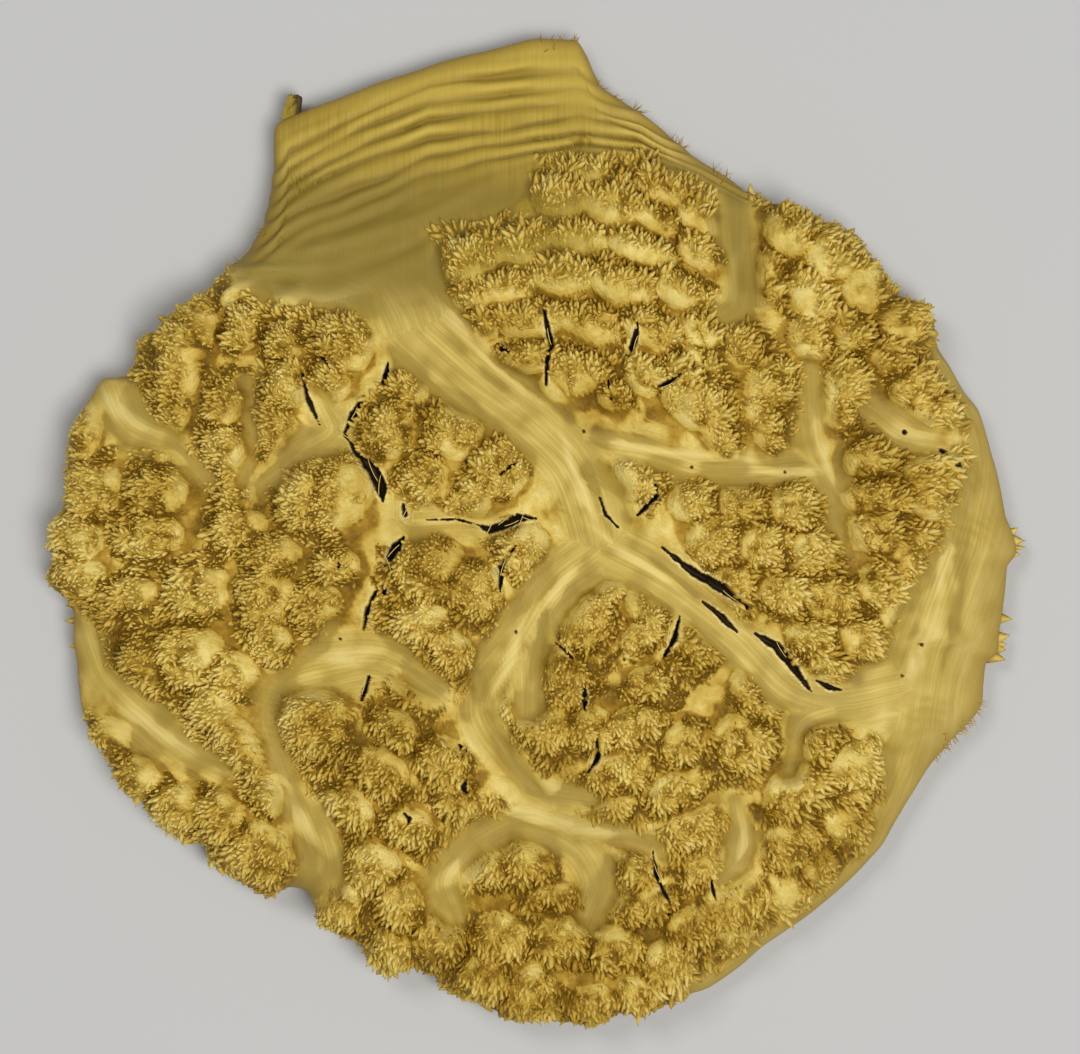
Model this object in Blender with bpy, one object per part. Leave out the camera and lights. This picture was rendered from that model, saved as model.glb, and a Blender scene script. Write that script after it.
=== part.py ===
"""Acacia burl slab: one natural piece of debarked wood, sawn flat at its back.

A wide low dome with a neck of trunk wood at one side.  Smooth channels of straight
grain part the dome into lobes, and each lobe carries a coat of pointed prickles that
lean outwards.  Metres, +Z up; the sawn back lies on z = 0 and the middle of the
slab's outline box is over the origin.
"""

import math

import bmesh
import bpy
import numpy as np
from mathutils import Vector

# Driving dimensions
SLAB_WIDTH = 0.450
DOME_HEIGHT = 0.054
EDGE_HEIGHT = 0.015
NECK_EDGE_HEIGHT = 0.013
NECK_LIFT = 0.006
DOME_FOOT = 0.018
DOME_REACH = 0.185
DOME_OFFSET = 0.010
SHOULDER = 0.014
RIM_SHOULDER = 0.040
BACK_INSET = 0.006
CHANNEL_DEPTH = 0.0065
CHANNEL_BANK = 0.012
CHANNEL_FLOOR = 0.4
LOBE_CREST = 0.3
PRICKLES_START = (-0.62, -0.05)
RIPPLE_RISE = 0.0013
PRICKLE_LENGTH = 0.0048
PRICKLE_PIT = 0.0010
PRICKLE_LENGTHS = (0.65, 1.25)
VIEW_HEIGHT = 1.5

# The mesh: cells along one side of the square grid that is bent over the dome, and the
# shares of the square that become the face and the shoulder
GRID_CELLS = 62
TOP_SHARE = 0.80
SHOULDER_SHARE = 0.93
BACK_RING = 0.72
NUDGE = 0.30
SEED = 3

# Outlines and features are read off a picture taken from straight above, as column
# and row.  SLAB_WIDTH over the width of the slab there gives their real size.
PICTURE_CENTRE = (538.5, 528.5)
PICTURE_WIDTH = 977.0
PICTURE_SCALE = SLAB_WIDTH / PICTURE_WIDTH

# The neck's arched end and the ripples below it, in picture columns and rows
ARCH_TOP = (575.0, 37.0)
ARCH_DROP = 73.0
ARCH_REACH = 275.0
RIGHT_SLOPE = 0.25
RIPPLED_ROWS = (-5.0, 15.0, 105.0, 130.0)
WAVES_PER_ROW = 0.043
WAVE_SQUEEZE = 0.00022
WAVE_START = 2.24

OUTLINE = [
    (278, 120), (310, 106), (350, 91), (400, 73), (450, 57), (500, 45), (545, 36), (575, 38),
    (586, 52), (594, 70), (604, 86), (636, 107), (668, 132), (705, 162), (735, 180), (765, 202),
    (798, 212), (818, 228), (840, 234), (860, 250), (877, 274), (888, 298), (910, 307), (928, 322),
    (937, 343), (950, 364), (965, 390), (981, 412), (992, 448), (1001, 482), (1007, 515),
    (1014, 534), (1018, 552), (1009, 568), (1006, 600), (1001, 630), (1000, 652), (988, 664),
    (985, 685), (983, 706), (966, 728), (948, 746), (925, 776), (901, 815), (880, 850),
    (850, 882), (815, 912), (772, 942), (735, 972), (703, 992), (680, 998), (650, 1007),
    (622, 1010), (592, 1020), (565, 1017), (540, 1009), (510, 1017), (492, 1003), (455, 988),
    (420, 964), (386, 964), (365, 939), (328, 925), (305, 893), (288, 888), (268, 893),
    (238, 877), (215, 860), (207, 842), (188, 840), (160, 818), (143, 799), (124, 775),
    (111, 758), (106, 741), (90, 726), (86, 705), (79, 684), (76, 664), (72, 640), (72, 610),
    (66, 596), (52, 585), (53, 568), (61, 550), (60, 524), (69, 500), (70, 472), (74, 443),
    (87, 412), (95, 388), (103, 378), (122, 376), (138, 363), (142, 345), (160, 332),
    (195, 307), (218, 280), (240, 257), (257, 232), (267, 200), (272, 165),
]

# Smooth channels of straight grain: stations of column, row and half width
CHANNELS = {
    "neck_end": [(325, 115, 66), (450, 92, 62), (560, 92, 62)],
    "neck_right": [(560, 92, 60), (655, 138, 18), (735, 186, 14)],
    "neck_foot": [(300, 185, 100), (400, 172, 66), (472, 160, 60)],
    "neck_root": [(290, 235, 68), (365, 250, 62), (404, 290, 38), (425, 335, 38)],
    "main": [(425, 335, 40), (480, 383, 27), (530, 420, 25), (572, 462, 28), (592, 510, 30),
             (602, 548, 30)],
    "main_lower": [(602, 548, 30), (650, 572, 22), (700, 607, 20), (745, 645, 18),
                   (790, 690, 17), (840, 702, 18), (900, 690, 40)],
    "left_fork": [(600, 550, 28), (550, 590, 24), (520, 640, 22), (488, 680, 18),
                  (480, 715, 17), (505, 755, 12), (540, 790, 10), (590, 800, 8)],
    "centre_fork": [(545, 600, 18), (530, 655, 14), (528, 705, 10)],
    "bottom_plain": [(470, 845, 12), (520, 822, 14), (575, 842, 22), (600, 880, 14), (590, 912, 10)],
    "bottom_plain_left": [(470, 845, 14), (445, 880, 14), (455, 915, 10)],
    "bottom_plain_right": [(575, 835, 20), (625, 835, 10), (660, 850, 6)],
    "lower_left_groove": [(345, 665, 24), (290, 680, 12), (268, 712, 9), (282, 762, 9),
                          (312, 830, 18), (322, 868, 20), (303, 892, 14)],
    "left_skirt": [(82, 632, 16), (102, 680, 14), (148, 722, 19), (186, 752, 12), (235, 776, 5)],
    "left_plain": [(330, 655, 22), (385, 655, 18), (440, 690, 10)],
    "crack_bank": [(300, 452, 12), (332, 432, 15), (322, 405, 9)],
    "crack_bank_low": [(400, 500, 9), (406, 525, 12), (450, 523, 6), (490, 526, 4)],
    "crack_bank_left": [(300, 452, 11), (262, 482, 6)],
    "right_ridge": [(585, 440, 8), (640, 448, 12), (700, 468, 12), (760, 470, 12), (812, 470, 10),
                    (832, 515, 6), (850, 560, 4)],
    "right_notch": [(808, 370, 5), (812, 440, 12), (832, 480, 8)],
    "right_plain": [(872, 408, 9), (905, 432, 14), (942, 440, 7)],
    "neck_notch": [(735, 190, 18), (738, 240, 14), (742, 300, 11), (724, 320, 7)],
    "upper_left_shelf": [(112, 392, 18), (132, 425, 20), (175, 445, 8), (205, 475, 5)],
    "left_seam": [(248, 385, 3), (256, 450, 3), (245, 480, 4)],
    "lower_right_notch": [(735, 800, 9), (742, 850, 11), (722, 880, 5)],
    "lower_right_shelf": [(840, 705, 14), (800, 722, 9), (788, 770, 4)],
    "rim": [(940, 352, 6), (975, 405, 9), (990, 460, 17), (980, 530, 32), (957, 600, 42),
            (927, 670, 55), (915, 740, 42), (893, 800, 24), (862, 858, 20), (800, 908, 16),
            (740, 955, 16), (690, 990, 9)],
}

# Lobes: column and row of the middle, half length towards the rim, half width across
# it, and rise in millimetres
LOBES = [
    (585, 172, 13, 20, 5), (562, 200, 22, 28, 6), (612, 208, 22, 32, 6), (668, 188, 20, 34, 6),
    (702, 214, 24, 30, 6), (655, 222, 15, 30, 5), (470, 262, 24, 36, 7), (520, 248, 20, 30, 6),
    (575, 240, 16, 34, 5), (640, 252, 16, 36, 6), (700, 252, 16, 26, 5), (495, 292, 18, 48, 6),
    (560, 278, 20, 34, 6), (622, 286, 22, 34, 7), (680, 292, 18, 32, 6), (478, 325, 16, 30, 5),
    (530, 322, 18, 36, 6), (590, 325, 18, 34, 5), (650, 330, 18, 34, 6), (703, 332, 18, 24, 5),
    (528, 358, 16, 30, 5), (580, 372, 20, 32, 5), (612, 395, 14, 18, 4), (645, 378, 16, 24, 5),
    (692, 396, 26, 42, 6), (740, 350, 22, 22, 5), (770, 385, 28, 24, 5), (765, 425, 16, 36, 5),
    (716, 432, 14, 34, 4), (705, 362, 12, 30, 4),
    (788, 234, 22, 26, 6), (832, 258, 24, 34, 6), (770, 266, 14, 14, 5), (862, 290, 24, 28, 6),
    (758, 292, 16, 24, 5), (812, 300, 20, 34, 5), (902, 322, 24, 24, 6), (850, 330, 20, 26, 5),
    (892, 356, 24, 26, 5), (808, 340, 18, 26, 5), (845, 382, 24, 24, 5), (915, 385, 28, 22, 5),
    (840, 412, 18, 20, 4), (936, 414, 22, 18, 5), (872, 458, 30, 20, 6), (935, 470, 34, 22, 6),
    (880, 496, 38, 18, 5), (938, 502, 28, 18, 5), (870, 532, 34, 20, 5), (915, 548, 24, 24, 5),
    (882, 585, 28, 24, 5), (902, 615, 20, 22, 5),
    (638, 476, 26, 24, 6), (692, 500, 22, 24, 5), (742, 504, 26, 24, 5), (795, 506, 28, 24, 6),
    (712, 540, 24, 26, 5), (765, 545, 26, 24, 5), (812, 552, 26, 24, 5), (730, 588, 22, 22, 5),
    (782, 594, 26, 20, 6), (830, 600, 28, 22, 5), (812, 640, 26, 20, 5), (862, 640, 26, 20, 5),
    (830, 672, 20, 16, 4),
    (602, 586, 20, 30, 6), (650, 602, 24, 24, 6), (586, 626, 22, 26, 5), (640, 636, 14, 24, 4),
    (566, 678, 30, 22, 5), (703, 636, 24, 24, 6), (645, 682, 16, 20, 4), (760, 690, 28, 28, 6),
    (545, 728, 24, 30, 6), (592, 730, 22, 24, 5), (635, 722, 18, 30, 5), (685, 742, 20, 26, 5),
    (742, 742, 30, 28, 5), (618, 772, 20, 34, 5), (680, 786, 18, 34, 5), (612, 806, 14, 24, 4),
    (815, 738, 24, 24, 4), (795, 792, 26, 36, 6), (855, 770, 24, 34, 5), (848, 830, 26, 20, 5),
    (788, 842, 22, 28, 6), (690, 828, 18, 42, 5), (708, 862, 18, 26, 5), (625, 868, 22, 30, 6),
    (640, 904, 18, 34, 5), (820, 866, 22, 20, 5), (735, 900, 24, 34, 6), (792, 898, 24, 22, 5),
    (690, 925, 20, 26, 5), (740, 935, 20, 26, 4),
    (525, 862, 22, 30, 6), (486, 866, 18, 20, 5), (550, 895, 12, 26, 4), (372, 868, 26, 32, 6),
    (340, 902, 24, 24, 6), (400, 902, 24, 26, 6), (440, 936, 26, 26, 6), (392, 944, 20, 24, 6),
    (500, 935, 24, 30, 6), (560, 935, 24, 28, 6), (482, 975, 22, 28, 6), (532, 988, 24, 26, 6),
    (592, 1000, 18, 22, 5), (615, 945, 22, 26, 6), (668, 962, 26, 28, 6), (640, 990, 16, 26, 5),
    (190, 655, 34, 30, 6), (148, 665, 28, 28, 6), (232, 675, 26, 24, 5), (215, 708, 20, 28, 5),
    (240, 745, 22, 36, 6), (312, 720, 34, 36, 9), (94, 702, 14, 20, 5), (112, 735, 18, 20, 6),
    (140, 775, 18, 22, 6), (180, 805, 20, 24, 6), (222, 812, 24, 24, 6), (262, 850, 28, 30, 6),
    (272, 795, 20, 20, 6), (290, 840, 20, 18, 5),
    (380, 770, 22, 30, 6), (350, 806, 16, 28, 6), (398, 728, 16, 26, 5), (442, 758, 22, 24, 6),
    (462, 800, 20, 26, 6), (410, 828, 20, 26, 5), (496, 690, 22, 20, 5), (408, 690, 12, 24, 4),
    (190, 338, 24, 42, 6), (245, 330, 20, 22, 5), (284, 342, 20, 18, 6), (345, 345, 28, 26, 6),
    (330, 380, 22, 20, 5), (412, 384, 18, 22, 5), (288, 385, 22, 24, 6), (272, 428, 26, 24, 5),
    (180, 375, 22, 34, 5), (225, 405, 20, 24, 5), (225, 450, 24, 28, 5), (175, 408, 20, 24, 4),
    (88, 430, 14, 40, 5), (100, 490, 26, 30, 6), (158, 490, 30, 24, 6), (240, 492, 18, 24, 5),
    (80, 540, 24, 26, 6), (85, 578, 26, 22, 6), (150, 535, 34, 22, 5), (240, 525, 26, 22, 5),
    (200, 590, 32, 26, 5), (270, 600, 30, 30, 6), (325, 490, 44, 42, 8), (340, 566, 20, 16, 5),
    (312, 605, 30, 22, 5), (125, 595, 34, 18, 5), (270, 640, 22, 20, 5), (275, 555, 26, 18, 5),
    (395, 430, 26, 30, 5), (455, 430, 28, 30, 6), (500, 470, 26, 30, 6), (425, 480, 28, 26, 5),
    (470, 500, 20, 26, 5), (430, 570, 34, 34, 6), (475, 590, 26, 28, 6), (525, 552, 26, 24, 6),
    (420, 622, 24, 26, 5), (450, 648, 16, 34, 5),
]

# Drying cracks: stations of column, row and full width
CRACKS = {
    "upper_left": [(388, 362, 2), (386, 378, 7), (380, 392, 2)],
    "left_wedge": [(364, 396, 2), (354, 414, 9), (344, 432, 2)],
    "left_main": [(344, 434, 2), (360, 457, 6), (373, 470, 12), (381, 486, 13), (383, 502, 2)],
    "left_low": [(404, 537, 2), (396, 548, 12), (385, 566, 3)],
    "left_tail": [(377, 590, 2), (368, 608, 6), (363, 632, 1.5)],
    "across": [(476, 524, 2), (490, 530, 8), (503, 526, 9), (518, 518, 10), (536, 518, 2)],
    "across_down": [(515, 546, 2), (502, 566, 6), (500, 592, 2)],
    "far_left": [(303, 372, 2), (307, 398, 5), (319, 424, 1.5)],
    "upper_middle": [(543, 308, 2), (549, 340, 7), (546, 385, 2)],
    "upper_right": [(637, 325, 2), (634, 342, 7), (626, 360, 2)],
    "channel_side": [(662, 547, 2), (692, 571, 7), (722, 588, 8), (752, 611, 2)],
    "channel_low": [(703, 602, 2), (722, 617, 7), (737, 632, 2)],
    "channel_end": [(756, 634, 3), (776, 646, 9), (793, 666, 8), (812, 692, 2)],
    "lower_middle": [(680, 616, 2), (674, 640, 7), (663, 658, 2)],
    "low_lobe": [(653, 852, 2), (656, 876, 7), (671, 905, 2)],
}
CRACK_DEPTH = 0.009

# Long thorns that stand out at the edge: column and row of the tip, and of the root
THORNS = [
    ((1027, 541), (996, 548)), ((1022, 558), (996, 556)), ((1015, 618), (990, 622)),
    ((1012, 637), (988, 637)), ((1008, 652), (986, 646)), ((50, 578), (80, 576)),
    ((62, 621), (86, 626)), ((63, 646), (88, 642)), ((590, 1021), (588, 996)),
    ((292, 96), (292, 128)),
]
THORN_RADIUS = 0.0055
THORN_SIDES = 6


def on_slab(column, row, height=0.0):
    """Where a spot of the picture lies, for a surface that is height above the floor."""
    nearer = 1.0 - height / VIEW_HEIGHT
    x = (np.asarray(column, float) - PICTURE_CENTRE[0]) * PICTURE_SCALE * nearer
    y = (PICTURE_CENTRE[1] - np.asarray(row, float)) * PICTURE_SCALE * nearer
    return x, y


def smooth(low, high, value):
    """0 below low, 1 above high, and an even rise between them."""
    t = np.clip((value - low) / (high - low), 0.0, 1.0)
    return t * t * (3.0 - 2.0 * t)


def dome(x, y):
    """The broad form of the face: highest at the middle, low at the neck's end."""
    reach = np.hypot(x, y + DOME_OFFSET) / DOME_REACH
    return DOME_FOOT + (DOME_HEIGHT - DOME_FOOT) * np.exp(-(reach ** 3))


def feature_spot(column, row):
    """A picture spot brought down to the dome's surface."""
    x, y = on_slab(column, row)
    return on_slab(column, row, dome(x, y))


def outline_curve():
    """Angles and radii of the outline, sorted by angle and closed at both ends."""
    columns, rows = np.array(OUTLINE, float).T
    x, y = on_slab(columns, rows, EDGE_HEIGHT)
    angle, radius = np.arctan2(y, x), np.hypot(x, y)
    order = np.argsort(angle)
    angle, radius = angle[order], radius[order]
    turn = 2.0 * math.pi
    angle = np.concatenate([angle[-2:] - turn, angle, angle[:2] + turn])
    radius = np.concatenate([radius[-2:], radius, radius[:2]])
    return angle, radius


OUTLINE_ANGLE, OUTLINE_RADIUS = outline_curve()


def outline_radius(angle):
    """Distance from the middle to the outline: a curve that bends only at its points."""
    wrapped = np.arctan2(np.sin(angle), np.cos(angle))
    k = np.clip(np.searchsorted(OUTLINE_ANGLE, wrapped) - 1, 1, len(OUTLINE_ANGLE) - 3)
    step = np.diff(OUTLINE_ANGLE)
    slope = np.diff(OUTLINE_RADIUS) / step

    def bend(i):
        same_way = slope[i - 1] * slope[i] > 0.0
        mean = 2.0 * slope[i - 1] * slope[i] / (slope[i - 1] + slope[i] + 1e-12)
        return np.where(same_way, mean, 0.0)

    h = step[k]
    t = (wrapped - OUTLINE_ANGLE[k]) / h
    start, end = OUTLINE_RADIUS[k], OUTLINE_RADIUS[k + 1]
    return (
        start * (1 + 2 * t) * (1 - t) ** 2
        + h * bend(k) * t * (1 - t) ** 2
        + end * t * t * (3 - 2 * t)
        + h * bend(k + 1) * t * t * (t - 1)
    )


def channel_lines():
    """Each channel as its points on the slab and its half widths, in metres."""
    lines = []
    for stations in CHANNELS.values():
        columns, rows, widths = np.array(stations, float).T
        x, y = feature_spot(columns, rows)
        lines.append((np.stack([x, y], axis=1), widths * PICTURE_SCALE))
    return lines


def clear_of_channels(x, y):
    """Distance outside the nearest channel's edge, in metres, negative within it."""
    clear = np.full(np.shape(x), 1.0)
    for points, widths in channel_lines():
        for (ax, ay), (bx, by), wa, wb in zip(points, points[1:], widths, widths[1:]):
            dx, dy = bx - ax, by - ay
            t = np.clip(((x - ax) * dx + (y - ay) * dy) / (dx * dx + dy * dy), 0.0, 1.0)
            gap = np.hypot(x - ax - t * dx, y - ay - t * dy) - (wa + t * (wb - wa))
            clear = np.minimum(clear, gap)
    return clear


def lobes_at(x, y):
    """Height of the lobes over the dome, and how far out on its lobe each spot lies.

    A lobe is gentle inside and steep outside.  The way out runs from -1 to 1 on it.
    """
    rise = np.zeros(np.shape(x))
    closest = np.full(np.shape(x), -1e9)
    outermost = np.zeros(np.shape(x))
    for column, row, along, across, height in LOBES:
        cx, cy = feature_spot(column, row)
        reach = math.hypot(cx, cy)
        ox, oy = cx / reach, cy / reach
        outward = ((x - cx) * ox + (y - cy) * oy) / (along * PICTURE_SCALE)
        sideways = ((y - cy) * ox - (x - cx) * oy) / (across * PICTURE_SCALE)
        past = outward - LOBE_CREST
        skewed = past / np.where(past < 0.0, 1.0 + LOBE_CREST, 1.0 - LOBE_CREST)
        inside = 1.15 - skewed ** 2 - sideways ** 2
        here = 0.001 * height * np.clip(inside, 0.0, 1.0) ** 0.6
        rise = np.maximum(rise, here)
        measure = np.where(inside > 0.0, here, inside)
        outermost = np.where(measure > closest, outward, outermost)
        closest = np.maximum(closest, measure)
    return rise, outermost


def neck_arch(x, y):
    """Picture rows below the neck's arched end, and how strongly it is rippled there."""
    column = PICTURE_CENTRE[0] + x / PICTURE_SCALE
    row = PICTURE_CENTRE[1] - y / PICTURE_SCALE
    left = np.clip((ARCH_TOP[0] - column) / ARCH_REACH, 0.0, 1.4)
    right = np.clip(column - ARCH_TOP[0], 0.0, 200.0)
    below = row - ARCH_TOP[1] - ARCH_DROP * left ** 1.6 - RIGHT_SLOPE * right
    start, full, fading, end = RIPPLED_ROWS
    return below, smooth(start, full, below) * (1.0 - smooth(fading, end, below))


def neck_ripples(x, y):
    """Curly figure across the neck: waves that follow its arched end."""
    below, strength = neck_arch(x, y)
    waves = WAVES_PER_ROW * below + WAVE_SQUEEZE * (below - 50.0) ** 2
    return RIPPLE_RISE * strength * np.cos(2.0 * math.pi * (waves - WAVE_START))


def face_relief(x, y):
    """Height over the dome, and how prickly the surface is there, from 0 to 1."""
    clear = clear_of_channels(x, y)
    bank = 1.0 - np.exp(-np.clip(clear, 0.0, None) / CHANNEL_BANK)
    lobed = smooth(-0.001, 0.005, clear)
    rise, outermost = lobes_at(x, y)
    prickly = smooth(0.001, 0.004, clear) * smooth(*PRICKLES_START, outermost)
    channel = CHANNEL_DEPTH * (bank - CHANNEL_FLOOR)
    return channel + rise * lobed + neck_ripples(x, y), prickly


def shoulder_width(angle):
    """How far in from the outline the face starts to round down: wide along the rim."""
    degrees = np.degrees(np.arctan2(np.sin(angle), np.cos(angle)))
    rim = smooth(-78.0, -62.0, degrees) * (1.0 - smooth(8.0, 26.0, degrees))
    return SHOULDER + (RIM_SHOULDER - SHOULDER) * rim


def neck_share(angle):
    """1 over the neck, 0 over the rest of the outline."""
    degrees = np.degrees(angle) % 360.0
    return smooth(72.0, 88.0, degrees) * (1.0 - smooth(118.0, 136.0, degrees))


def slab_point(u, v, in_back):
    """Bends a point of the flat square over the slab.

    The square's middle is the dome's top.  Its rings become the face, the rounded
    shoulder, the edge and the turn under it.  The ring let down from it is in_back.
    Returns the point, the way out of the surface there, and how prickly it is.
    """
    t = np.maximum(np.abs(u), np.abs(v))
    safe = np.where(t > 1e-9, t, 1.0)
    side_on_u = np.abs(u) >= np.abs(v)
    angle = np.where(
        side_on_u,
        np.where(u >= 0, 0.0, math.pi) + (math.pi / 4) * v / np.where(side_on_u, u + (u == 0), 1.0),
        np.where(v >= 0, 0.5, 1.5) * math.pi
        - (math.pi / 4) * u / np.where(side_on_u, 1.0, v + (v == 0)),
    )
    cos, sin = np.cos(angle), np.sin(angle)
    radius = outline_radius(angle)
    shoulder = shoulder_width(angle)
    neck = neck_share(angle)
    edge = EDGE_HEIGHT + (NECK_EDGE_HEIGHT - EDGE_HEIGHT) * neck
    lift = NECK_LIFT * neck

    turn = np.clip((t - TOP_SHARE) / (SHOULDER_SHARE - TOP_SHARE), 0.0, 1.0) * math.pi / 2
    under = np.clip((t - SHOULDER_SHARE) / (1.0 - SHOULDER_SHARE), 0.0, 1.0) * math.pi / 2
    reach = np.where(
        t < TOP_SHARE,
        (radius - shoulder) * t / TOP_SHARE,
        radius - shoulder * (1.0 - np.sin(turn)),
    )
    reach = reach - BACK_INSET * (1.0 - neck * 0.6) * (1.0 - np.cos(under))
    x, y = reach * cos, reach * sin
    face = dome(x, y)
    z = edge + (face - edge) * np.cos(turn)
    z = z - (edge - lift) * np.sin(under)

    relief, prickly = face_relief(x, y)
    lean = turn / (math.pi / 2)
    strength = (1.0 - 0.75 * lean) * np.cos(under) ** 2
    out_x, out_y, out_z = np.sin(turn) * cos, np.sin(turn) * sin, np.cos(turn)
    x = x + out_x * relief * strength
    y = y + out_y * relief * strength
    z = z + out_z * relief * strength
    prickly = prickly * np.cos(under) ** 2 * (1.0 - smooth(0.0, 1.0, neck) * lean)

    inner = (radius - BACK_INSET) * BACK_RING
    x = np.where(in_back, inner * cos, x)
    y = np.where(in_back, inner * sin, y)
    z = np.where(in_back, 0.0, z)
    prickly = np.where(in_back, 0.0, prickly)
    return x, y, z, (out_x, out_y, out_z), prickly


def flat_square():
    """The square grid, a ring let down from its edge for the back, and a cap over it."""
    square = bmesh.new()
    bmesh.ops.create_grid(square, x_segments=GRID_CELLS, y_segments=GRID_CELLS, size=1.0)
    edge = [e for e in square.edges if e.is_boundary]
    made = bmesh.ops.extrude_edge_only(square, edges=edge)["geom"]
    for item in made:
        if isinstance(item, bmesh.types.BMVert):
            item.co.z = -1.0
    edge = [e for e in made if isinstance(e, bmesh.types.BMEdge) and e.is_boundary]
    bmesh.ops.contextual_create(square, geom=edge)
    return square


def refine_neck(square):
    """Halves the cells under the neck's ripples, which are finer than the grid."""
    cells = list(square.faces)
    middles = np.array([c.calc_center_median() for c in cells])
    x, y, *_ = slab_point(middles[:, 0], middles[:, 1], middles[:, 2] < -0.1)
    rippled = (neck_arch(x, y)[1] > 0.2) & (clear_of_channels(x, y) < 0.0)
    rippled &= (np.abs(middles[:, :2]).max(axis=1) < 0.95) & (middles[:, 2] > -0.1)
    chosen = {e for cell, wanted in zip(cells, rippled) if wanted for e in cell.edges}
    bmesh.ops.subdivide_edges(square, edges=list(chosen), cuts=1, use_grid_fill=True)
    beside = [f for f in square.faces if len(f.verts) > 4 and f.calc_center_median().z > -0.1]
    bmesh.ops.poke(square, faces=beside)


def is_tip(vertex):
    """Every second grid point carries a prickle, as on a chessboard.

    None is on the square's diagonals, where the bending flattens the cells.
    """
    across = (vertex.co.x + 1.0) * GRID_CELLS / 2
    up = (vertex.co.y + 1.0) * GRID_CELLS / 2
    on_grid = max(abs(across - round(across)), abs(up - round(up))) < 0.01
    return on_grid and (round(across) + round(up)) % 2 == 1


def split_between_tips(square):
    """Cuts each square cell along its two low corners, so that each tip is a pyramid."""
    for cell in [f for f in square.faces if len(f.verts) == 4]:
        corners = [loop.vert for loop in cell.loops]
        tips = [is_tip(v) for v in corners]
        if all(v.co.z > -0.5 for v in corners) and sum(tips) == 2:
            low = [v for v, tip in zip(corners, tips) if not tip]
            bmesh.utils.face_split(cell, low[0], low[1])


def build_body():
    """The slab's body with its relief and its coat of prickles."""
    square = flat_square()
    refine_neck(square)
    split_between_tips(square)
    square.verts.ensure_lookup_table()
    flat = np.array([v.co for v in square.verts])
    tips = np.array([is_tip(v) for v in square.verts])
    chance = np.random.default_rng(SEED)
    length = chance.uniform(*PRICKLE_LENGTHS, len(flat))
    in_back = flat[:, 2] < -0.5
    *_, prickly = slab_point(flat[:, 0], flat[:, 1], in_back)
    off_diagonal = np.abs(np.abs(flat[:, 0]) - np.abs(flat[:, 1]))
    loose = prickly * np.clip(off_diagonal / 0.08, 0.2, 1.0)
    loose *= np.abs(flat[:, :2]).max(axis=1) < 0.999
    nudge = chance.uniform(-NUDGE, NUDGE, (len(flat), 2)) * loose[:, None] * 2.0 / GRID_CELLS
    x, y, z, out, prickly = slab_point(flat[:, 0] + nudge[:, 0], flat[:, 1] + nudge[:, 1], in_back)

    reach = np.maximum(np.hypot(x, y), 1e-6)
    outward = 0.15 + 0.75 * smooth(0.04, 0.20, reach)
    lean_x, lean_y = x / reach * outward, y / reach * outward
    size = np.sqrt((out[0] + lean_x) ** 2 + (out[1] + lean_y) ** 2 + out[2] ** 2)
    rise = np.where(tips, PRICKLE_LENGTH * length, -PRICKLE_PIT) * prickly
    x = x + (out[0] + lean_x) / size * rise
    y = y + (out[1] + lean_y) / size * rise
    z = z + out[2] / size * rise
    for vertex, px, py, pz in zip(square.verts, x, y, z):
        vertex.co = (px, py, pz)

    bmesh.ops.triangulate(square, faces=[f for f in square.faces if len(f.verts) > 3])
    bmesh.ops.recalc_face_normals(square, faces=square.faces)
    mesh = bpy.data.meshes.new("burl_slab")
    square.to_mesh(mesh)
    square.free()
    slab = bpy.data.objects.new("burl_slab", mesh)
    bpy.context.scene.collection.objects.link(slab)
    return slab


def add_solid(name, points, faces):
    """A closed solid from its points and faces, with its faces pointing out."""
    solid = bmesh.new()
    corners = [solid.verts.new(p) for p in points]
    for face in faces:
        solid.faces.new([corners[i] for i in face])
    bmesh.ops.recalc_face_normals(solid, faces=solid.faces)
    mesh = bpy.data.meshes.new(name)
    solid.to_mesh(mesh)
    solid.free()
    thing = bpy.data.objects.new(name, mesh)
    bpy.context.scene.collection.objects.link(thing)
    return thing


def crack_wedge(name, stations, slab):
    """A long wedge that is wide above the face and sharp at the crack's bottom."""
    columns, rows, widths = np.array(stations, float).T
    x, y = feature_spot(columns, rows)
    way = np.stack([np.gradient(x), np.gradient(y)], axis=1)
    way /= np.linalg.norm(way, axis=1)[:, None]
    above = 0.012
    points = []
    for px, py, width, (wx, wy) in zip(x, y, widths * PICTURE_SCALE, way):
        hit, spot, _, _ = slab.ray_cast(Vector((px, py, 0.2)), Vector((0, 0, -1)))
        surface = spot.z if hit else dome(px, py)
        depth = CRACK_DEPTH * (0.45 + 0.55 * min(1.0, width / 0.004))
        half = width / 2 * (depth + above) / depth
        points.append((px - wy * half, py + wx * half, surface + above))
        points.append((px + wy * half, py - wx * half, surface + above))
        points.append((px, py, surface - depth))
    faces = [(0, 1, 2), (len(points) - 1, len(points) - 2, len(points) - 3)]
    for start in range(0, len(points) - 3, 3):
        for a, b in ((0, 1), (1, 2), (2, 0)):
            faces.append((start + a, start + b, start + 3 + b, start + 3 + a))
    return add_solid("crack_" + name, points, faces)


def thorn(number, tip, root):
    """A six-sided thorn whose root is sunk in the edge."""
    tx, ty = on_slab(*tip, EDGE_HEIGHT)
    rx, ry = on_slab(*root, EDGE_HEIGHT)
    way = Vector((float(tx - rx), float(ty - ry), 0.0)).normalized()
    across = Vector((-way.y, way.x, 0.0))
    base = Vector((float(rx), float(ry), EDGE_HEIGHT))
    points = [Vector((float(tx), float(ty), EDGE_HEIGHT + 0.001))]
    for side in range(THORN_SIDES):
        angle = 2.0 * math.pi * side / THORN_SIDES
        points.append(base + THORN_RADIUS * (math.cos(angle) * across
                                             + math.sin(angle) * Vector((0, 0, 1))))
    faces = [tuple(range(1, THORN_SIDES + 1))]
    for side in range(THORN_SIDES):
        faces.append((0, 1 + side, 1 + (side + 1) % THORN_SIDES))
    return add_solid(f"thorn_{number}", points, faces)


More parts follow.
